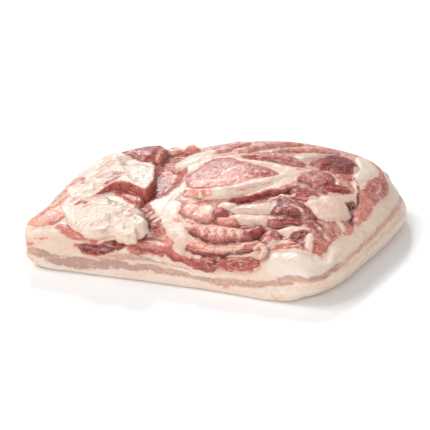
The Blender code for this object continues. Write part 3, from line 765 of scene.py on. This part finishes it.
paint([(76, -18), (83, -6), (95, 2), (108, -1), (117, -9), (119, -19), (112, -28), (100, -37), (90, -33),
       (82, -24)], "fat", calm=True, tone=0.35, film=0.3, stand=2.5, edge=3, back=16, crease=0.14,
      speck=0)
paint([(82, -14, 3), (94, -16, 4), (104, -24, 3)], tone=0.2, film=0.45)
print("right end laid;", int((body_coat["lean"] > 0).sum()), "points are lean")

# %% Flecks and threads of membrane
FLECK = {"tissue": "lean", "tone": 0.75, "film": 0.0}
paint([(71, -114, 7, 1.5), (75, -114, 5, 1.0)], **FLECK)
paint([(-56, -110, 3, 1.0), (-51, -110, 3, 1.0)], **FLECK)
paint([(24, -112, 8, 0.7), (30, -112, 8, 0.7)], **FLECK)
for x, y, turn in ((-58, -36, 0.6), (-62, -20, 0.4), (-56, -88, 0.9), (-64, 0, 0.7), (-70, 44, 0.5),
                   (-60, 56, 0.8), (84, -50, 2.6), (94, -46, 2.4), (72, -58, 0.3), (60, -34, 0.5),
                   (26, 88, 0.4), (-24, 72, 0.9), (88, 60, 0.2), (78, 22, 1.1), (96, 12, 0.2)):
    across = 3.5 * np.array([np.cos(turn), np.sin(turn)])
    paint([(x - across[0], y - across[1], 0.3), (x, y, 0.8), (x + across[0], y + across[1], 0.3)], "fat",
          tone=1.1, film=0.0, swell=0.4, edge=1, soft=0.8)
print("flecks laid")


# %% [markdown]
# ## The look of raw meat
# Fat and lean share one wet surface and differ in colour and grain, so one material serves every
# piece. It reads the tissue numbers as attributes. Fine noise breaks up the borders, and noise
# drawn out along the fibres makes the threads and the thin white marbling.

# %% Shader helpers
def add_node(tree, kind, inputs=(), **settings):
    """Add a node, set its options, and fill its inputs with values or with other nodes' outputs."""
    node = tree.nodes.new(kind)
    for name, value in settings.items():
        setattr(node, name, value)
    for key, value in dict(inputs).items():
        if isinstance(value, bpy.types.NodeSocket):
            tree.links.new(value, node.inputs[key])
        else:
            node.inputs[key].default_value = value
    return node


def new_group(name, inputs, outputs):
    """Make a shader group with named sockets; give the group and its two end nodes."""
    group = bpy.data.node_groups.new(name, "ShaderNodeTree")
    for label, kind in inputs:
        group.interface.new_socket(label, in_out="INPUT", socket_type=kind)
    for label, kind in outputs:
        group.interface.new_socket(label, in_out="OUTPUT", socket_type=kind)
    return group, group.nodes.new("NodeGroupInput"), group.nodes.new("NodeGroupOutput")


def maths(tree, operation, *values):
    """A Math node over one to three values or sockets; gives its output."""
    return add_node(tree, "ShaderNodeMath", dict(enumerate(values)), operation=operation).outputs[0]


def smooth_mask(tree, value, low, high):
    """A mask that rises smoothly from 0 at low to 1 at high."""
    inputs = {"Value": value, "From Min": low, "From Max": high}
    return add_node(tree, "ShaderNodeMapRange", inputs, interpolation_type="SMOOTHSTEP").outputs[0]


def mix_colour(tree, share, first, second):
    """Mix two colours by a share from 0 to 1."""
    node = add_node(tree, "ShaderNodeMix", {0: share, 6: first, 7: second}, data_type="RGBA")
    return node.outputs[2]


def noise(tree, vector, scale, detail=2.0, roughness=0.5):
    """Smooth noise around 0.5, its size 1 / scale in the vector's unit."""
    inputs = {"Vector": vector, "Scale": scale, "Detail": detail, "Roughness": roughness}
    return add_node(tree, "ShaderNodeTexNoise", inputs).outputs[0]


def colour_ramp(tree, value, stops):
    """A ramp through (position, colour) stops."""
    node = add_node(tree, "ShaderNodeValToRGB", {0: value})
    elements = node.color_ramp.elements
    elements[0].position, elements[0].color = stops[0][0], (*stops[0][1], 1)
    elements[1].position, elements[1].color = stops[-1][0], (*stops[-1][1], 1)
    for position, colour in stops[1:-1]:
        elements.new(position).color = (*colour, 1)
    return node.outputs[0]


print("shader helpers ready")

# %% Groups for ragged borders, fibres, and specks that are partly painted glints
edge_group, edge_in, edge_out = new_group(
    "ragged_tissue_edge",
    [("Depth", "NodeSocketFloat"), ("Place", "NodeSocketVector"), ("Thread", "NodeSocketFloat"),
     ("Ragged", "NodeSocketFloat")],
    [("Mask", "NodeSocketFloat")])
fine = noise(edge_group, edge_in.outputs["Place"], 0.38, 4.0, 0.65)
broad = noise(edge_group, edge_in.outputs["Place"], 0.13, 2.0, 0.5)
fine = maths(edge_group, "ADD", fine, maths(edge_group, "MULTIPLY_ADD", broad, 1.2, -1.1))
fine = maths(edge_group, "ADD", fine, maths(edge_group, "MULTIPLY_ADD", edge_in.outputs["Thread"], 0.8, -0.4))
shift = maths(edge_group, "MULTIPLY_ADD", fine, edge_in.outputs["Ragged"], edge_in.outputs["Depth"])
edge_group.links.new(smooth_mask(edge_group, shift, -0.45, 0.5), edge_out.inputs["Mask"])

fibre_group, fibre_in, fibre_out = new_group(
    "muscle_fibres", [("Along Across", "NodeSocketVector")],
    [("Thread", "NodeSocketFloat"), ("Marbling", "NodeSocketFloat"), ("Specks And Glints", "NodeSocketFloat")])


def along_noise(squeeze, scale, detail, roughness):
    """Noise on the fibre coordinates, drawn out along the fibres by 1 / squeeze."""
    stretched = add_node(fibre_group, "ShaderNodeMapping",
                         {"Vector": fibre_in.outputs["Along Across"], "Scale": (squeeze, 1.0, 1.0)})
    return noise(fibre_group, stretched.outputs[0], scale, detail, roughness)


thread = along_noise(0.10, 0.55, 2.0, 0.5)
vein = maths(fibre_group, "ABSOLUTE", maths(fibre_group, "SUBTRACT", along_noise(0.2, 0.24, 3.0, 0.55), 0.5))
# Pale specks along the fibres: partly white flecks of fat, partly painted wet glints.
speckle = along_noise(0.4, 0.42, 4.0, 0.62)
fibre_group.links.new(thread, fibre_out.inputs["Thread"])
fibre_group.links.new(smooth_mask(fibre_group, vein, 0.035, 0.0), fibre_out.inputs["Marbling"])
fibre_group.links.new(smooth_mask(fibre_group, speckle, 0.53, 0.64), fibre_out.inputs["Specks And Glints"])
print("groups:", edge_group.name, fibre_group.name)

# %% Colours of lean, fat and film
tissue_material = bpy.data.materials.new("raw_belly_tissue")
tissue_material.use_nodes = True
tree = tissue_material.node_tree
shader = tree.nodes["Principled BSDF"]
tissue = add_node(tree, "ShaderNodeAttribute", attribute_name="tissue").outputs["Vector"]
lean, tone, film = add_node(tree, "ShaderNodeSeparateXYZ", {0: tissue}).outputs
surface = add_node(tree, "ShaderNodeAttribute", attribute_name="surface").outputs["Vector"]
hollow_for_shade, speck, _ = add_node(tree, "ShaderNodeSeparateXYZ", {0: surface}).outputs
fibre = add_node(tree, "ShaderNodeAttribute", attribute_name="fibre").outputs["Vector"]
place = add_node(tree, "ShaderNodeTexCoord").outputs["Object"]
place = add_node(tree, "ShaderNodeMapping", {"Vector": place, "Scale": (1000, 1000, 1000)}).outputs[0]

fibres = add_node(tree, "ShaderNodeGroup", {"Along Across": fibre}, node_tree=fibre_group)
thread, marbling, specks = fibres.outputs
mask = add_node(tree, "ShaderNodeGroup", {"Depth": lean, "Place": place, "Thread": thread, "Ragged": 2.8},
                node_tree=edge_group).outputs[0]
cloud = noise(tree, place, 0.06, 3.0)
mottle = noise(tree, place, 0.16, 3.0)
# Painted shade and painted light: from the hollow depth, hollows are darkened and ridges are lightened in the colour
# itself.
hollow_shade_share = smooth_mask(tree, hollow_for_shade, 0.03, 0.6)
ridge_light_share = smooth_mask(tree, hollow_for_shade, -0.05, -0.8)

tone_here = maths(tree, "MULTIPLY_ADD", maths(tree, "SUBTRACT", thread, 0.5), 0.5, tone)
tone_here = maths(tree, "MULTIPLY_ADD", maths(tree, "SUBTRACT", mottle, 0.5), 0.45, tone_here)
# Painted shade in hollows and painted light on ridges, added to the lean's tone.
tone_here = maths(tree, "MULTIPLY_ADD", hollow_shade_share, -0.3, tone_here)
tone_here = maths(tree, "MULTIPLY_ADD", ridge_light_share, 0.12, tone_here)
lean_colour = colour_ramp(tree, tone_here, [
    (0.0, (0.13, 0.008, 0.008)), (0.2, (0.30, 0.036, 0.030)), (0.45, (0.50, 0.105, 0.080)),
    (0.7, (0.70, 0.225, 0.162)), (1.0, (0.88, 0.36, 0.235))])
pale_threads = maths(tree, "MULTIPLY", marbling, maths(tree, "MULTIPLY_ADD", speck, 0.45, 0.25))
lean_colour = mix_colour(tree, pale_threads, lean_colour, (0.84, 0.60, 0.51, 1))
# Specks: partly pale flecks in the lean, partly painted glints, mixed into the colour.
lean_colour = mix_colour(tree, maths(tree, "MULTIPLY", specks, speck), lean_colour, (0.93, 0.76, 0.67, 1))

fat_tone = maths(tree, "MULTIPLY_ADD", maths(tree, "SUBTRACT", cloud, 0.5), 1.1, tone)
fat_tone = maths(tree, "MULTIPLY_ADD", maths(tree, "SUBTRACT", mottle, 0.5), 0.5, fat_tone)
grain = noise(tree, place, 0.42, 4.0, 0.6)
fat_tone = maths(tree, "MULTIPLY_ADD", maths(tree, "SUBTRACT", grain, 0.5), 1.3, fat_tone)
fat_colour = colour_ramp(tree, fat_tone, [
    (0.05, (0.72, 0.47, 0.35)), (0.5, (0.78, 0.60, 0.485)), (0.95, (0.82, 0.69, 0.59))])
# Painted shade: fat turns a darker pink in hollows.
fat_colour = mix_colour(tree, maths(tree, "MULTIPLY", hollow_shade_share, 0.5), fat_colour, (0.74, 0.42, 0.33, 1))
blush = smooth_mask(tree, lean, -2.6, 0.3)
fat_colour = mix_colour(tree, maths(tree, "MULTIPLY", blush, 0.4), fat_colour, (0.84, 0.47, 0.35, 1))

film_tone = maths(tree, "MULTIPLY_ADD", maths(tree, "SUBTRACT", thread, 0.5), 0.55, tone)
film_tone = maths(tree, "MULTIPLY_ADD", maths(tree, "SUBTRACT", grain, 0.5), 0.6, film_tone)
film_colour = colour_ramp(tree, film_tone, [
    (0.1, (0.62, 0.42, 0.41)), (0.5, (0.76, 0.57, 0.51)), (0.72, (0.69, 0.43, 0.31)),
    (1.0, (0.45, 0.245, 0.20))])
base = mix_colour(tree, mask, fat_colour, lean_colour)
film_here = maths(tree, "MULTIPLY_ADD", maths(tree, "SUBTRACT", mottle, 0.5), 0.8, film)
film_here = maths(tree, "MULTIPLY_ADD", maths(tree, "SUBTRACT", grain, 0.5), 0.9, film_here)
film_here = maths(tree, "MULTIPLY", smooth_mask(tree, film_here, 0.1, 0.8), 0.92)
base = mix_colour(tree, film_here, base, film_colour)
tree.links.new(base, shader.inputs["Base Color"])
print("colours mixed")

# %% Wet surface
gloss = maths(tree, "MULTIPLY_ADD", mottle, 0.28, maths(tree, "MULTIPLY_ADD", mask, -0.06, 0.18))
tree.links.new(gloss, shader.inputs["Roughness"])
height = maths(tree, "MULTIPLY_ADD", thread, maths(tree, "MULTIPLY_ADD", mask, 0.5, 0.05),
               maths(tree, "MULTIPLY", grain, 0.7))
height = maths(tree, "MULTIPLY_ADD", maths(tree, "MULTIPLY", specks, mask), 0.12, height)
bump = add_node(tree, "ShaderNodeBump", {"Height": height, "Strength": 0.6, "Distance": 0.0010})
tree.links.new(bump.outputs[0], shader.inputs["Normal"])
shader.inputs["Subsurface Weight"].default_value = 0.15
shader.inputs["Subsurface Radius"].default_value = (1.0, 0.35, 0.2)
shader.inputs["Subsurface Scale"].default_value = 0.002
print("tissue material has", len(tree.nodes), "nodes")


# %% Mesh maker
PLACE = np.append((low + high)[:2] / 2 - (body_base.min(axis=0) + body_base.max(axis=0))[:2] / 2, 0)


def fibre_place(points, degrees):
    """Coordinates that follow the fibres: x and y turned by the fibre angle into along and
    across, and the height."""
    turn = np.radians(degrees)
    along = points[:, 0] * np.cos(turn) + points[:, 1] * np.sin(turn)
    across = points[:, 1] * np.cos(turn) - points[:, 0] * np.sin(turn)
    return np.stack([along, across, points[:, 2]], axis=1)


def make_piece(name, points, quads, coat, extra=()):
    """Put points (mm) and faces into a smooth mesh with its tissue numbers, riding on the slab.
    Hollow_for_shade is how far a point lies below its eased surroundings, along the normal;
    the material paints shade into hollows and light onto ridges from it."""
    mesh = bpy.data.meshes.new(name)
    mesh.from_pydata(((points + PLACE) * MM).tolist(), [], quads.tolist() + [list(f) for f in extra])
    mesh.shade_smooth()
    eased = ease(points, quads, np.full(len(points), 0.5), 10)
    hollow_for_shade = ((eased - points) * point_normals(points, quads)).sum(axis=1)
    # The surface attribute carries the hollow depth, used for painted shade and light, and the specks, which are
    # partly pale flecks and partly painted glints.
    values = {"tissue": np.stack([coat["lean"], coat["tone"], coat["film"]], axis=1),
              "surface": np.stack([hollow_for_shade, coat["speck"], 0 * hollow_for_shade], axis=1),
              "fibre": fibre_place(points, coat["fibre"])}
    for label, columns in values.items():
        attribute = mesh.attributes.new(label, "FLOAT_VECTOR", "POINT")
        attribute.data.foreach_set("vector", columns.astype(np.float32).ravel())
    mesh.materials.append(tissue_material)
    piece = bpy.data.objects.new(name, mesh)
    scene.collection.objects.link(piece)
    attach(piece, "root")
    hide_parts("belly_slab")
    return piece


# %% Relief of the body
def relief(points, coat, size=1.0):
    """Fine relief in millimetres: ridges along the fibres of lean meat, made by squeezing lumps
    along them, and on fat soft mounds with creases between, the absolute value of lumps."""
    meat = fade(-1.5, 1.0, coat["lean"])
    stretched = fibre_place(points, coat["fibre"]) * np.array([0.22, 1.0, 1.0])
    ridges = 0.2 * lumps(stretched, 3.2, 11) + 0.35 * lumps(stretched, 7.0, 12)
    mounds = (0.9 * np.abs(lumps(points, 15, 13)) + 0.7 * np.abs(lumps(points, 6.5, 14))
              + 0.5 * np.abs(lumps(points, 3.4, 15)) - 0.7)
    return size * (meat * ridges + (1 - meat) * mounds * 0.6) + 0.15 * lumps(points, 4, 10)


body_normal = point_normals(body_base, body_quads)
body_height = body_coat["height"] + fade(0, 6, body_base[:, 2]) * relief(body_base, body_coat)
body_points = body_base + body_height[:, None] * body_normal
body_points = ease(body_points, body_quads, 0.4 * fade(0, 4, body_base[:, 2]), 2)
body = make_piece("belly_body", body_points, body_quads, body_coat, [under_index[::-1]])
print("body has", len(body.data.polygons), "faces; moved by", PLACE.round(2), "mm to the CAD's place")


# %% [markdown]
# ## Flaps
# Two thick leaves of fat hang over the left of the slab. A leaf
# is one closed surface: its outline is carried up its cut edge over rounded corners, and both
# faces are drawn in to a middle point. Where the leaf is still joined to the slab, its outline
# is given no heights and lies flush with the meat below.

# %% Leaf maker
def flush(outline, sunk=2.5, proud=0.4):
    """Fill in the top and bottom height of each (x, y) of an outline, so that it lies just on the
    body's surface there; an (x, y, top z, bottom z) has its own."""
    surface = body_points[top_index.ravel()]
    filled = []
    for knot in outline:
        if len(knot) == 2:
            nearest = ((surface[:, 0] - knot[0]) ** 2 + (surface[:, 1] - knot[1]) ** 2).argmin()
            knot = (*knot, surface[nearest, 2] + proud, surface[nearest, 2] - sunk)
        filled.append(knot)
    return np.array(filled, float)


def leaf(name, outline, middle, top, edge, corner=3.0, rough=1.0, dome=0.0, around=340, strokes=()):
    """Close a leaf over an outline of (x, y, top z, bottom z). Its rows run from the middle of the
    underside to the outline, up round two quarter-circle corners, and in to the middle of the top
    (x, y, z). Top and edge are (lean, tone, film); strokes are laid as on the body."""
    loop = flush(outline)
    dense = smooth_path(np.vstack([loop[-2:], loop, loop[:3]]), 16)[32:-32]
    length = np.concatenate([[0], np.cumsum(np.linalg.norm(np.diff(dense[:, :2], axis=0), axis=1))])
    even = np.linspace(0, length[-1], around, endpoint=False)
    line = np.stack([np.interp(even, length, axis) for axis in dense.T], axis=1)
    middle = np.array(middle, float)
    spoke = middle[:2] - line[:, :2]
    reach = np.linalg.norm(spoke, axis=1)
    upper, lower = line[:, 2], line[:, 3]
    bend = np.minimum(corner, 0.45 * (upper - lower))
    turn = np.linspace(0, np.pi / 2, 7)[:, None]
    under = np.linspace(0.97, 0.1, 5)[:, None]
    rise = np.linspace(0, 1, 13)[1:-1, None]
    inward = np.linspace(0, 1, 60)[1:, None] * 0.98
    inset = np.vstack([under * reach, bend * (1 - np.sin(turn)), 0 * rise * reach,
                       bend * (1 - np.cos(turn)), bend + inward * (reach - bend)])
    swell = fade(0, 1, inward) * (middle[2] - upper) + dome * np.sin(np.pi / 2 * inward)
    z = np.vstack([lower + 0 * under, lower + bend * (1 - np.cos(turn)),
                   lower + bend + rise * (upper - lower - 2 * bend),
                   upper - bend * (1 - np.sin(turn)), upper + swell])
    plan = line[None, :, :2] + (inset / reach)[..., None] * spoke[None]
    points = np.dstack([plan, z]).reshape(-1, 3)
    index = np.arange(len(points)).reshape(-1, around)
    quads = grid_quads(index, True)
    sides = len(under) + len(turn) + len(rise)
    share = np.concatenate([np.zeros(sides), fade(0.2, 0.9, turn[:, 0] / turn.max()), np.ones(len(inward))])
    coat = new_coat(len(points))
    for k, label in enumerate(("lean", "tone", "film")):
        coat[label] = np.repeat(edge[k] + (top[k] - edge[k]) * share, around)
    tangent = np.roll(line, -1, axis=0) - np.roll(line, 1, axis=0)
    heading = np.degrees(np.arctan2(tangent[:, 1], tangent[:, 0]))
    coat["fibre"][:sides * around] = np.tile(heading, sides)
    at = wander(points)
    for path, tissue, numbers in strokes:
        lay(coat, at, points[sides * around:], path, tissue, **numbers)
    height = coat["height"] + relief(points, coat, rough)
    points = ease(points, quads, np.full(len(points), 0.5), 3)
    points = points + height[:, None] * point_normals(points, quads)
    return make_piece(name, points, quads, coat, [index[0, ::-1], index[-1]])


FAT = (-4.0, 0.7, 0.0)
WHITE_FAT = (-4.0, 0.95, 0.0)
FILM = (-3.0, 0.5, 0.85)
LEAN = (4.0, 0.4, 0.05)
DARK = (4.0, 0.12, 0.0)

# %% The upper flap
leaf("upper_flap",
     [(-110, -36, 53, 45), (-102, -31, 57, 42), (-90, -30, 58, 41), (-77, -35, 57, 40),
      (-69, -38, 57, 40), (-68, -26, 57, 41), (-70, -10, 58, 42), (-74, 4, 58, 42),
      (-80, 20, 56, 43), (-92, 27, 54, 43), (-112, 36), (-130, 44), (-143, 36), (-150, 12),
      (-151, -14), (-147, -40), (-136, -52), (-122, -48)],
     (-106, 0, 57), WHITE_FAT, (3.0, 0.44, 0.0), corner=2.5, rough=2.2,
     strokes=[
         ([(-128, -12, 6), (-112, -14, 9), (-98, -12, 7)], None, {"film": 0.6, "tone": 0.3, "swell": -1}),
         ([(-116, -30), (-112, -18), (-104, -16), (-100, -22), (-104, -30)], "lean",
          {"tone": 0.22, "film": 0.45, "swell": -1}),
         ([(-116, -10, 1.5), (-108, -9, 2), (-100, -10, 1.5)], "lean", {"tone": 0.3, "film": 0.4, "soft": 1.5}),
         ([(-84, -26, 5), (-80, -10, 5), (-84, 8, 5)], None, {"tone": 0.55}),
         ([(-145, 0, 3), (-130, 8, 3), (-112, 14, 3)], None, {"swell": -1.2, "tone": 0.5}),
         ([(-140, -22, 3), (-128, -26, 3), (-120, -34, 3)], None, {"swell": -1.5, "tone": 0.3}),
         ([(-126, 20, 1.2), (-116, 28, 1.6)], None, {"tone": 0.1, "soft": 1.4}),
         ([(-146, -12, 3), (-138, 8, 4), (-126, 26, 4)], None, {"film": 0.55, "tone": 0.25}),
         ([(-136, -6, 0.8), (-126, 8, 1.2), (-120, 24, 0.8)], "lean",
          {"tone": 0.6, "film": 0.5, "soft": 2, "swell": -1}),
         ([(-122, 0, 2), (-114, 8, 3), (-104, 20, 2)], None, {"tone": 1.1, "swell": 1.5}),
         ([(-110, 24, 4), (-96, 16, 4), (-86, 10, 3)], None, {"film": 0.5, "tone": 0.3}),
     ])

# %% The front flap
leaf("front_flap",
     [(-142, -66), (-138, -50), (-126, -42), (-112, -40), (-104, -42, 46, 42), (-96, -46, 46, 41),
      (-86, -52, 47, 40), (-76, -60, 49, 40), (-66, -68, 51, 40), (-58, -75, 52, 39),
      (-60, -82, 51, 38), (-51, -88, 51, 37), (-50, -96, 50, 35), (-56, -101, 49, 34),
      (-54, -107, 46, 34), (-61, -111, 45, 34), (-70, -109, 45, 34), (-76, -104, 45, 35),
      (-82, -104, 46, 35), (-89, -109, 45, 34), (-101, -109, 44, 34), (-112, -104, 44, 36),
      (-122, -97, 45, 38), (-132, -84, 45, 41)],
     (-90, -78, 54), WHITE_FAT, FAT, corner=6.0, rough=2.8, dome=1.5,
     strokes=[
         ([(-72, -76, 1.0), (-68, -84, 1.2), (-70, -92, 0.8)], "lean", {"swell": -1.4, "tone": 0.9, "edge": 2, "soft": 2}),
         ([(-60, -88, 0.8), (-70, -86, 1.0)], None, {"swell": -1.5, "tone": 0.0, "edge": 2}),
         ([(-84, -102, 1.0), (-85, -94, 1.2), (-89, -88, 0.8)], None, {"swell": -1.2, "tone": 0.3}),
         ([(-120, -66, 2), (-104, -60, 2.6), (-90, -60, 2)], None, {"swell": -1.2, "tone": 0.3}),
         ([(-112, -84, 2), (-100, -78, 2.6), (-86, -78, 2)], None, {"swell": -1, "tone": 0.4}),
         ([(-122, -62, 5), (-108, -58, 6), (-94, -60, 5)], None, {"film": 0.75, "tone": 0.2}),
         ([(-126, -70, 1.6), (-120, -66, 2.4), (-116, -70, 1.6)], "lean", {"tone": 0.12, "swell": -2.5}),
         ([(-116, -76, 1.0), (-110, -75, 1.3)], "lean", {"tone": 0.0, "swell": -2}),
         ([(-92, -96, 3), (-80, -90, 3), (-72, -80, 3)], None, {"film": 0.4, "tone": 0.6}),
         ([(-108, -96, 2), (-98, -100, 3), (-88, -98, 2)], None, {"film": 0.4, "tone": 0.7}),
         ([(-92, -68, 5), (-84, -70, 4)], None, {"swell": 1.2}),
         ([(-68, -98, 5), (-62, -102, 4)], None, {"swell": 1.0}),
         ([(-134, -62, 2), (-128, -52, 3), (-114, -46, 3)], "lean", {"tone": 0.7, "film": 0.5, "soft": 2}),
     ])

print("flaps made")


# %% [markdown]
# ## Strap and curl
# Over the hollow left by a rib lies a strap of meat under pale film, and a small curl of fat
# hangs at the front. Each is a rounded bar section carried along a smooth path. Its width wavers
# and its ends run out under the pieces beside it.

# %% Strip maker
def bar_power(angle, power):
    """Cosine and sine of the angle raised to 2 / power with their signs kept, which turns a
    circle into a rounded bar section."""
    cosine, sine = np.cos(angle), np.sin(angle)
    return (np.sign(cosine) * np.abs(cosine) ** (2 / power),
            np.sign(sine) * np.abs(sine) ** (2 / power))


def strip(name, path, top, near, far=None, roll=0.0, power=2.5, seed=1, rough=0.7, step=0.8,
          around=72, strokes=()):
    """Carry a bar section along the path of (x, y, z, half width, half thickness). Near is the
    side to the right of the path's direction. Top, near and far are (lean, tone, film)."""
    knots = smooth_path(path, 10)
    length = np.concatenate([[0], np.cumsum(np.linalg.norm(np.diff(knots[:, :3], axis=0), axis=1))])
    count = max(int(length[-1] / step), 12)
    s = 0.5 * length[-1] * (1 - np.cos(np.linspace(0.04, np.pi - 0.04, count)))
    s = 0.6 * s + 0.4 * np.linspace(s[0], s[-1], count)
    line = np.stack([np.interp(s, length, axis) for axis in knots.T], axis=1)
    forward = np.gradient(line[:, :3], axis=0)
    forward /= np.linalg.norm(forward, axis=1)[:, None]
    side = np.cross(forward, [0, 0, 1])
    side /= np.linalg.norm(side, axis=1)[:, None]
    up = np.cross(side, forward)
    turn = np.radians(roll)
    side, up = np.cos(turn) * side - np.sin(turn) * up, np.cos(turn) * up + np.sin(turn) * side
    line[:, 3] *= 1 + 0.12 * lumps(line[:, :3], 11, seed + 60)
    end = np.minimum(s, length[-1] - s) / np.clip(line[:, 3], 1, None)
    cap = (1 - (1 - np.clip(1.6 * end, 0, 1)) ** 2.6) ** (1 / 2.6)
    angle = np.linspace(0, 2 * np.pi, around, endpoint=False)
    across, lift = bar_power(angle, power)
    points = (line[:, None, :3]
              + side[:, None] * (across[None, :] * (line[:, 3] * cap)[:, None])[..., None]
              + up[:, None] * (lift[None, :] * (line[:, 4] * cap)[:, None])[..., None])
    index = np.arange(count * around).reshape(count, around)
    quads = grid_quads(index, True)
    points = points.reshape(-1, 3)
    coat = new_coat(len(points))
    far = far or near
    sine, cosine = np.sin(angle), np.cos(angle)
    top_share = np.tile(fade(0.1, 0.5, sine), count)
    near_share = np.tile(fade(-0.3, 0.3, cosine), count)
    for k, label in enumerate(("lean", "tone", "film")):
        sides = near[k] * near_share + far[k] * (1 - near_share)
        coat[label] = top[k] * top_share + sides * (1 - top_share)
    coat["fibre"] = np.repeat(np.degrees(np.arctan2(forward[:, 1], forward[:, 0])), around)
    at = wander(points, 0.6)
    skyward = points[np.tile(sine > 0.3, count)]
    for path, tissue, numbers in strokes:
        lay(coat, at, skyward, path, tissue, **numbers)
    height = coat["height"] + relief(points, coat, rough)
    points = points + height[:, None] * point_normals(points, quads)
    return make_piece(name, points, quads, coat, [index[0, ::-1], index[-1]])


# %% The strap and the curl
strip("rib_strap", [(-37, -27, 48.5, 5.5, 4), (-26, -29, 50, 6.6, 5), (-14, -29, 50.5, 6.8, 5.5),
                    (0, -25, 51.5, 6.8, 5.5), (14, -16, 52.5, 6.6, 4.5), (30, -3, 53.5, 6.4, 4),
                    (44, 11, 54.5, 6.2, 4), (58, 25, 55, 5.5, 3.5), (70, 36, 53, 4, 3)],
      (-3.0, 0.6, 0.35), DARK, (-2.0, 0.6, 0.3), roll=26, power=4.5, seed=1, rough=0.6,
      strokes=[([(-38, -27, 7), (-28, -29, 8), (-18, -30, 8), (-12, -30, 5)], "lean",
                {"tone": 0.58, "film": 0.1, "speck": 0.8, "fibre": 80}),
               ([(-24, -23, 1.2), (-26, -28, 1.8), (-24, -35, 1.4)], "lean",
                {"tone": 0.85, "film": 0, "swell": -1}),
               ([(-20, -24, 1.3), (-21, -29, 1.6), (-18, -35, 1.3)], "fat", {"tone": 0.9, "swell": 0.8}),
               ([(-31, -24, 1.0), (-32, -31, 1.3)], "fat", {"tone": 0.9, "swell": 0.6, "soft": 1.3}),
               ([(-10, -28, 6), (-2, -26, 6)], None, {"tone": 1.0, "film": 0.0}),
               ([(8, -19, 3), (20, -10, 3.4), (32, -1, 3)], None, {"tone": 0.3, "film": 0.9}),
               ([(36, 4, 5), (50, 18, 5), (62, 30, 5)], None, {"tone": 0.8, "film": 0.2}),
               ([(6, -23, 0.8), (20, -14, 1.0), (40, 5, 0.8)], "lean", {"tone": 0.9, "film": 0.3}),
               ([(-36, -19, 0.8), (-20, -22, 1.0), (-4, -20, 0.8)], "lean", {"tone": 0.85, "soft": 1.3})])
strip("front_curl", [(46, -91, 36, 2.4, 2), (51, -87, 38, 3, 2.6), (56, -91, 38, 3.2, 2.6),
                     (57, -97, 36, 3, 2.6), (53, -102, 33, 2.4, 2)],
      (-0.6, 0.7, 0.45), (0.8, 0.75, 0.2), power=2.2, seed=11, rough=1.6, step=0.5, around=48)
print("strap and curl made")
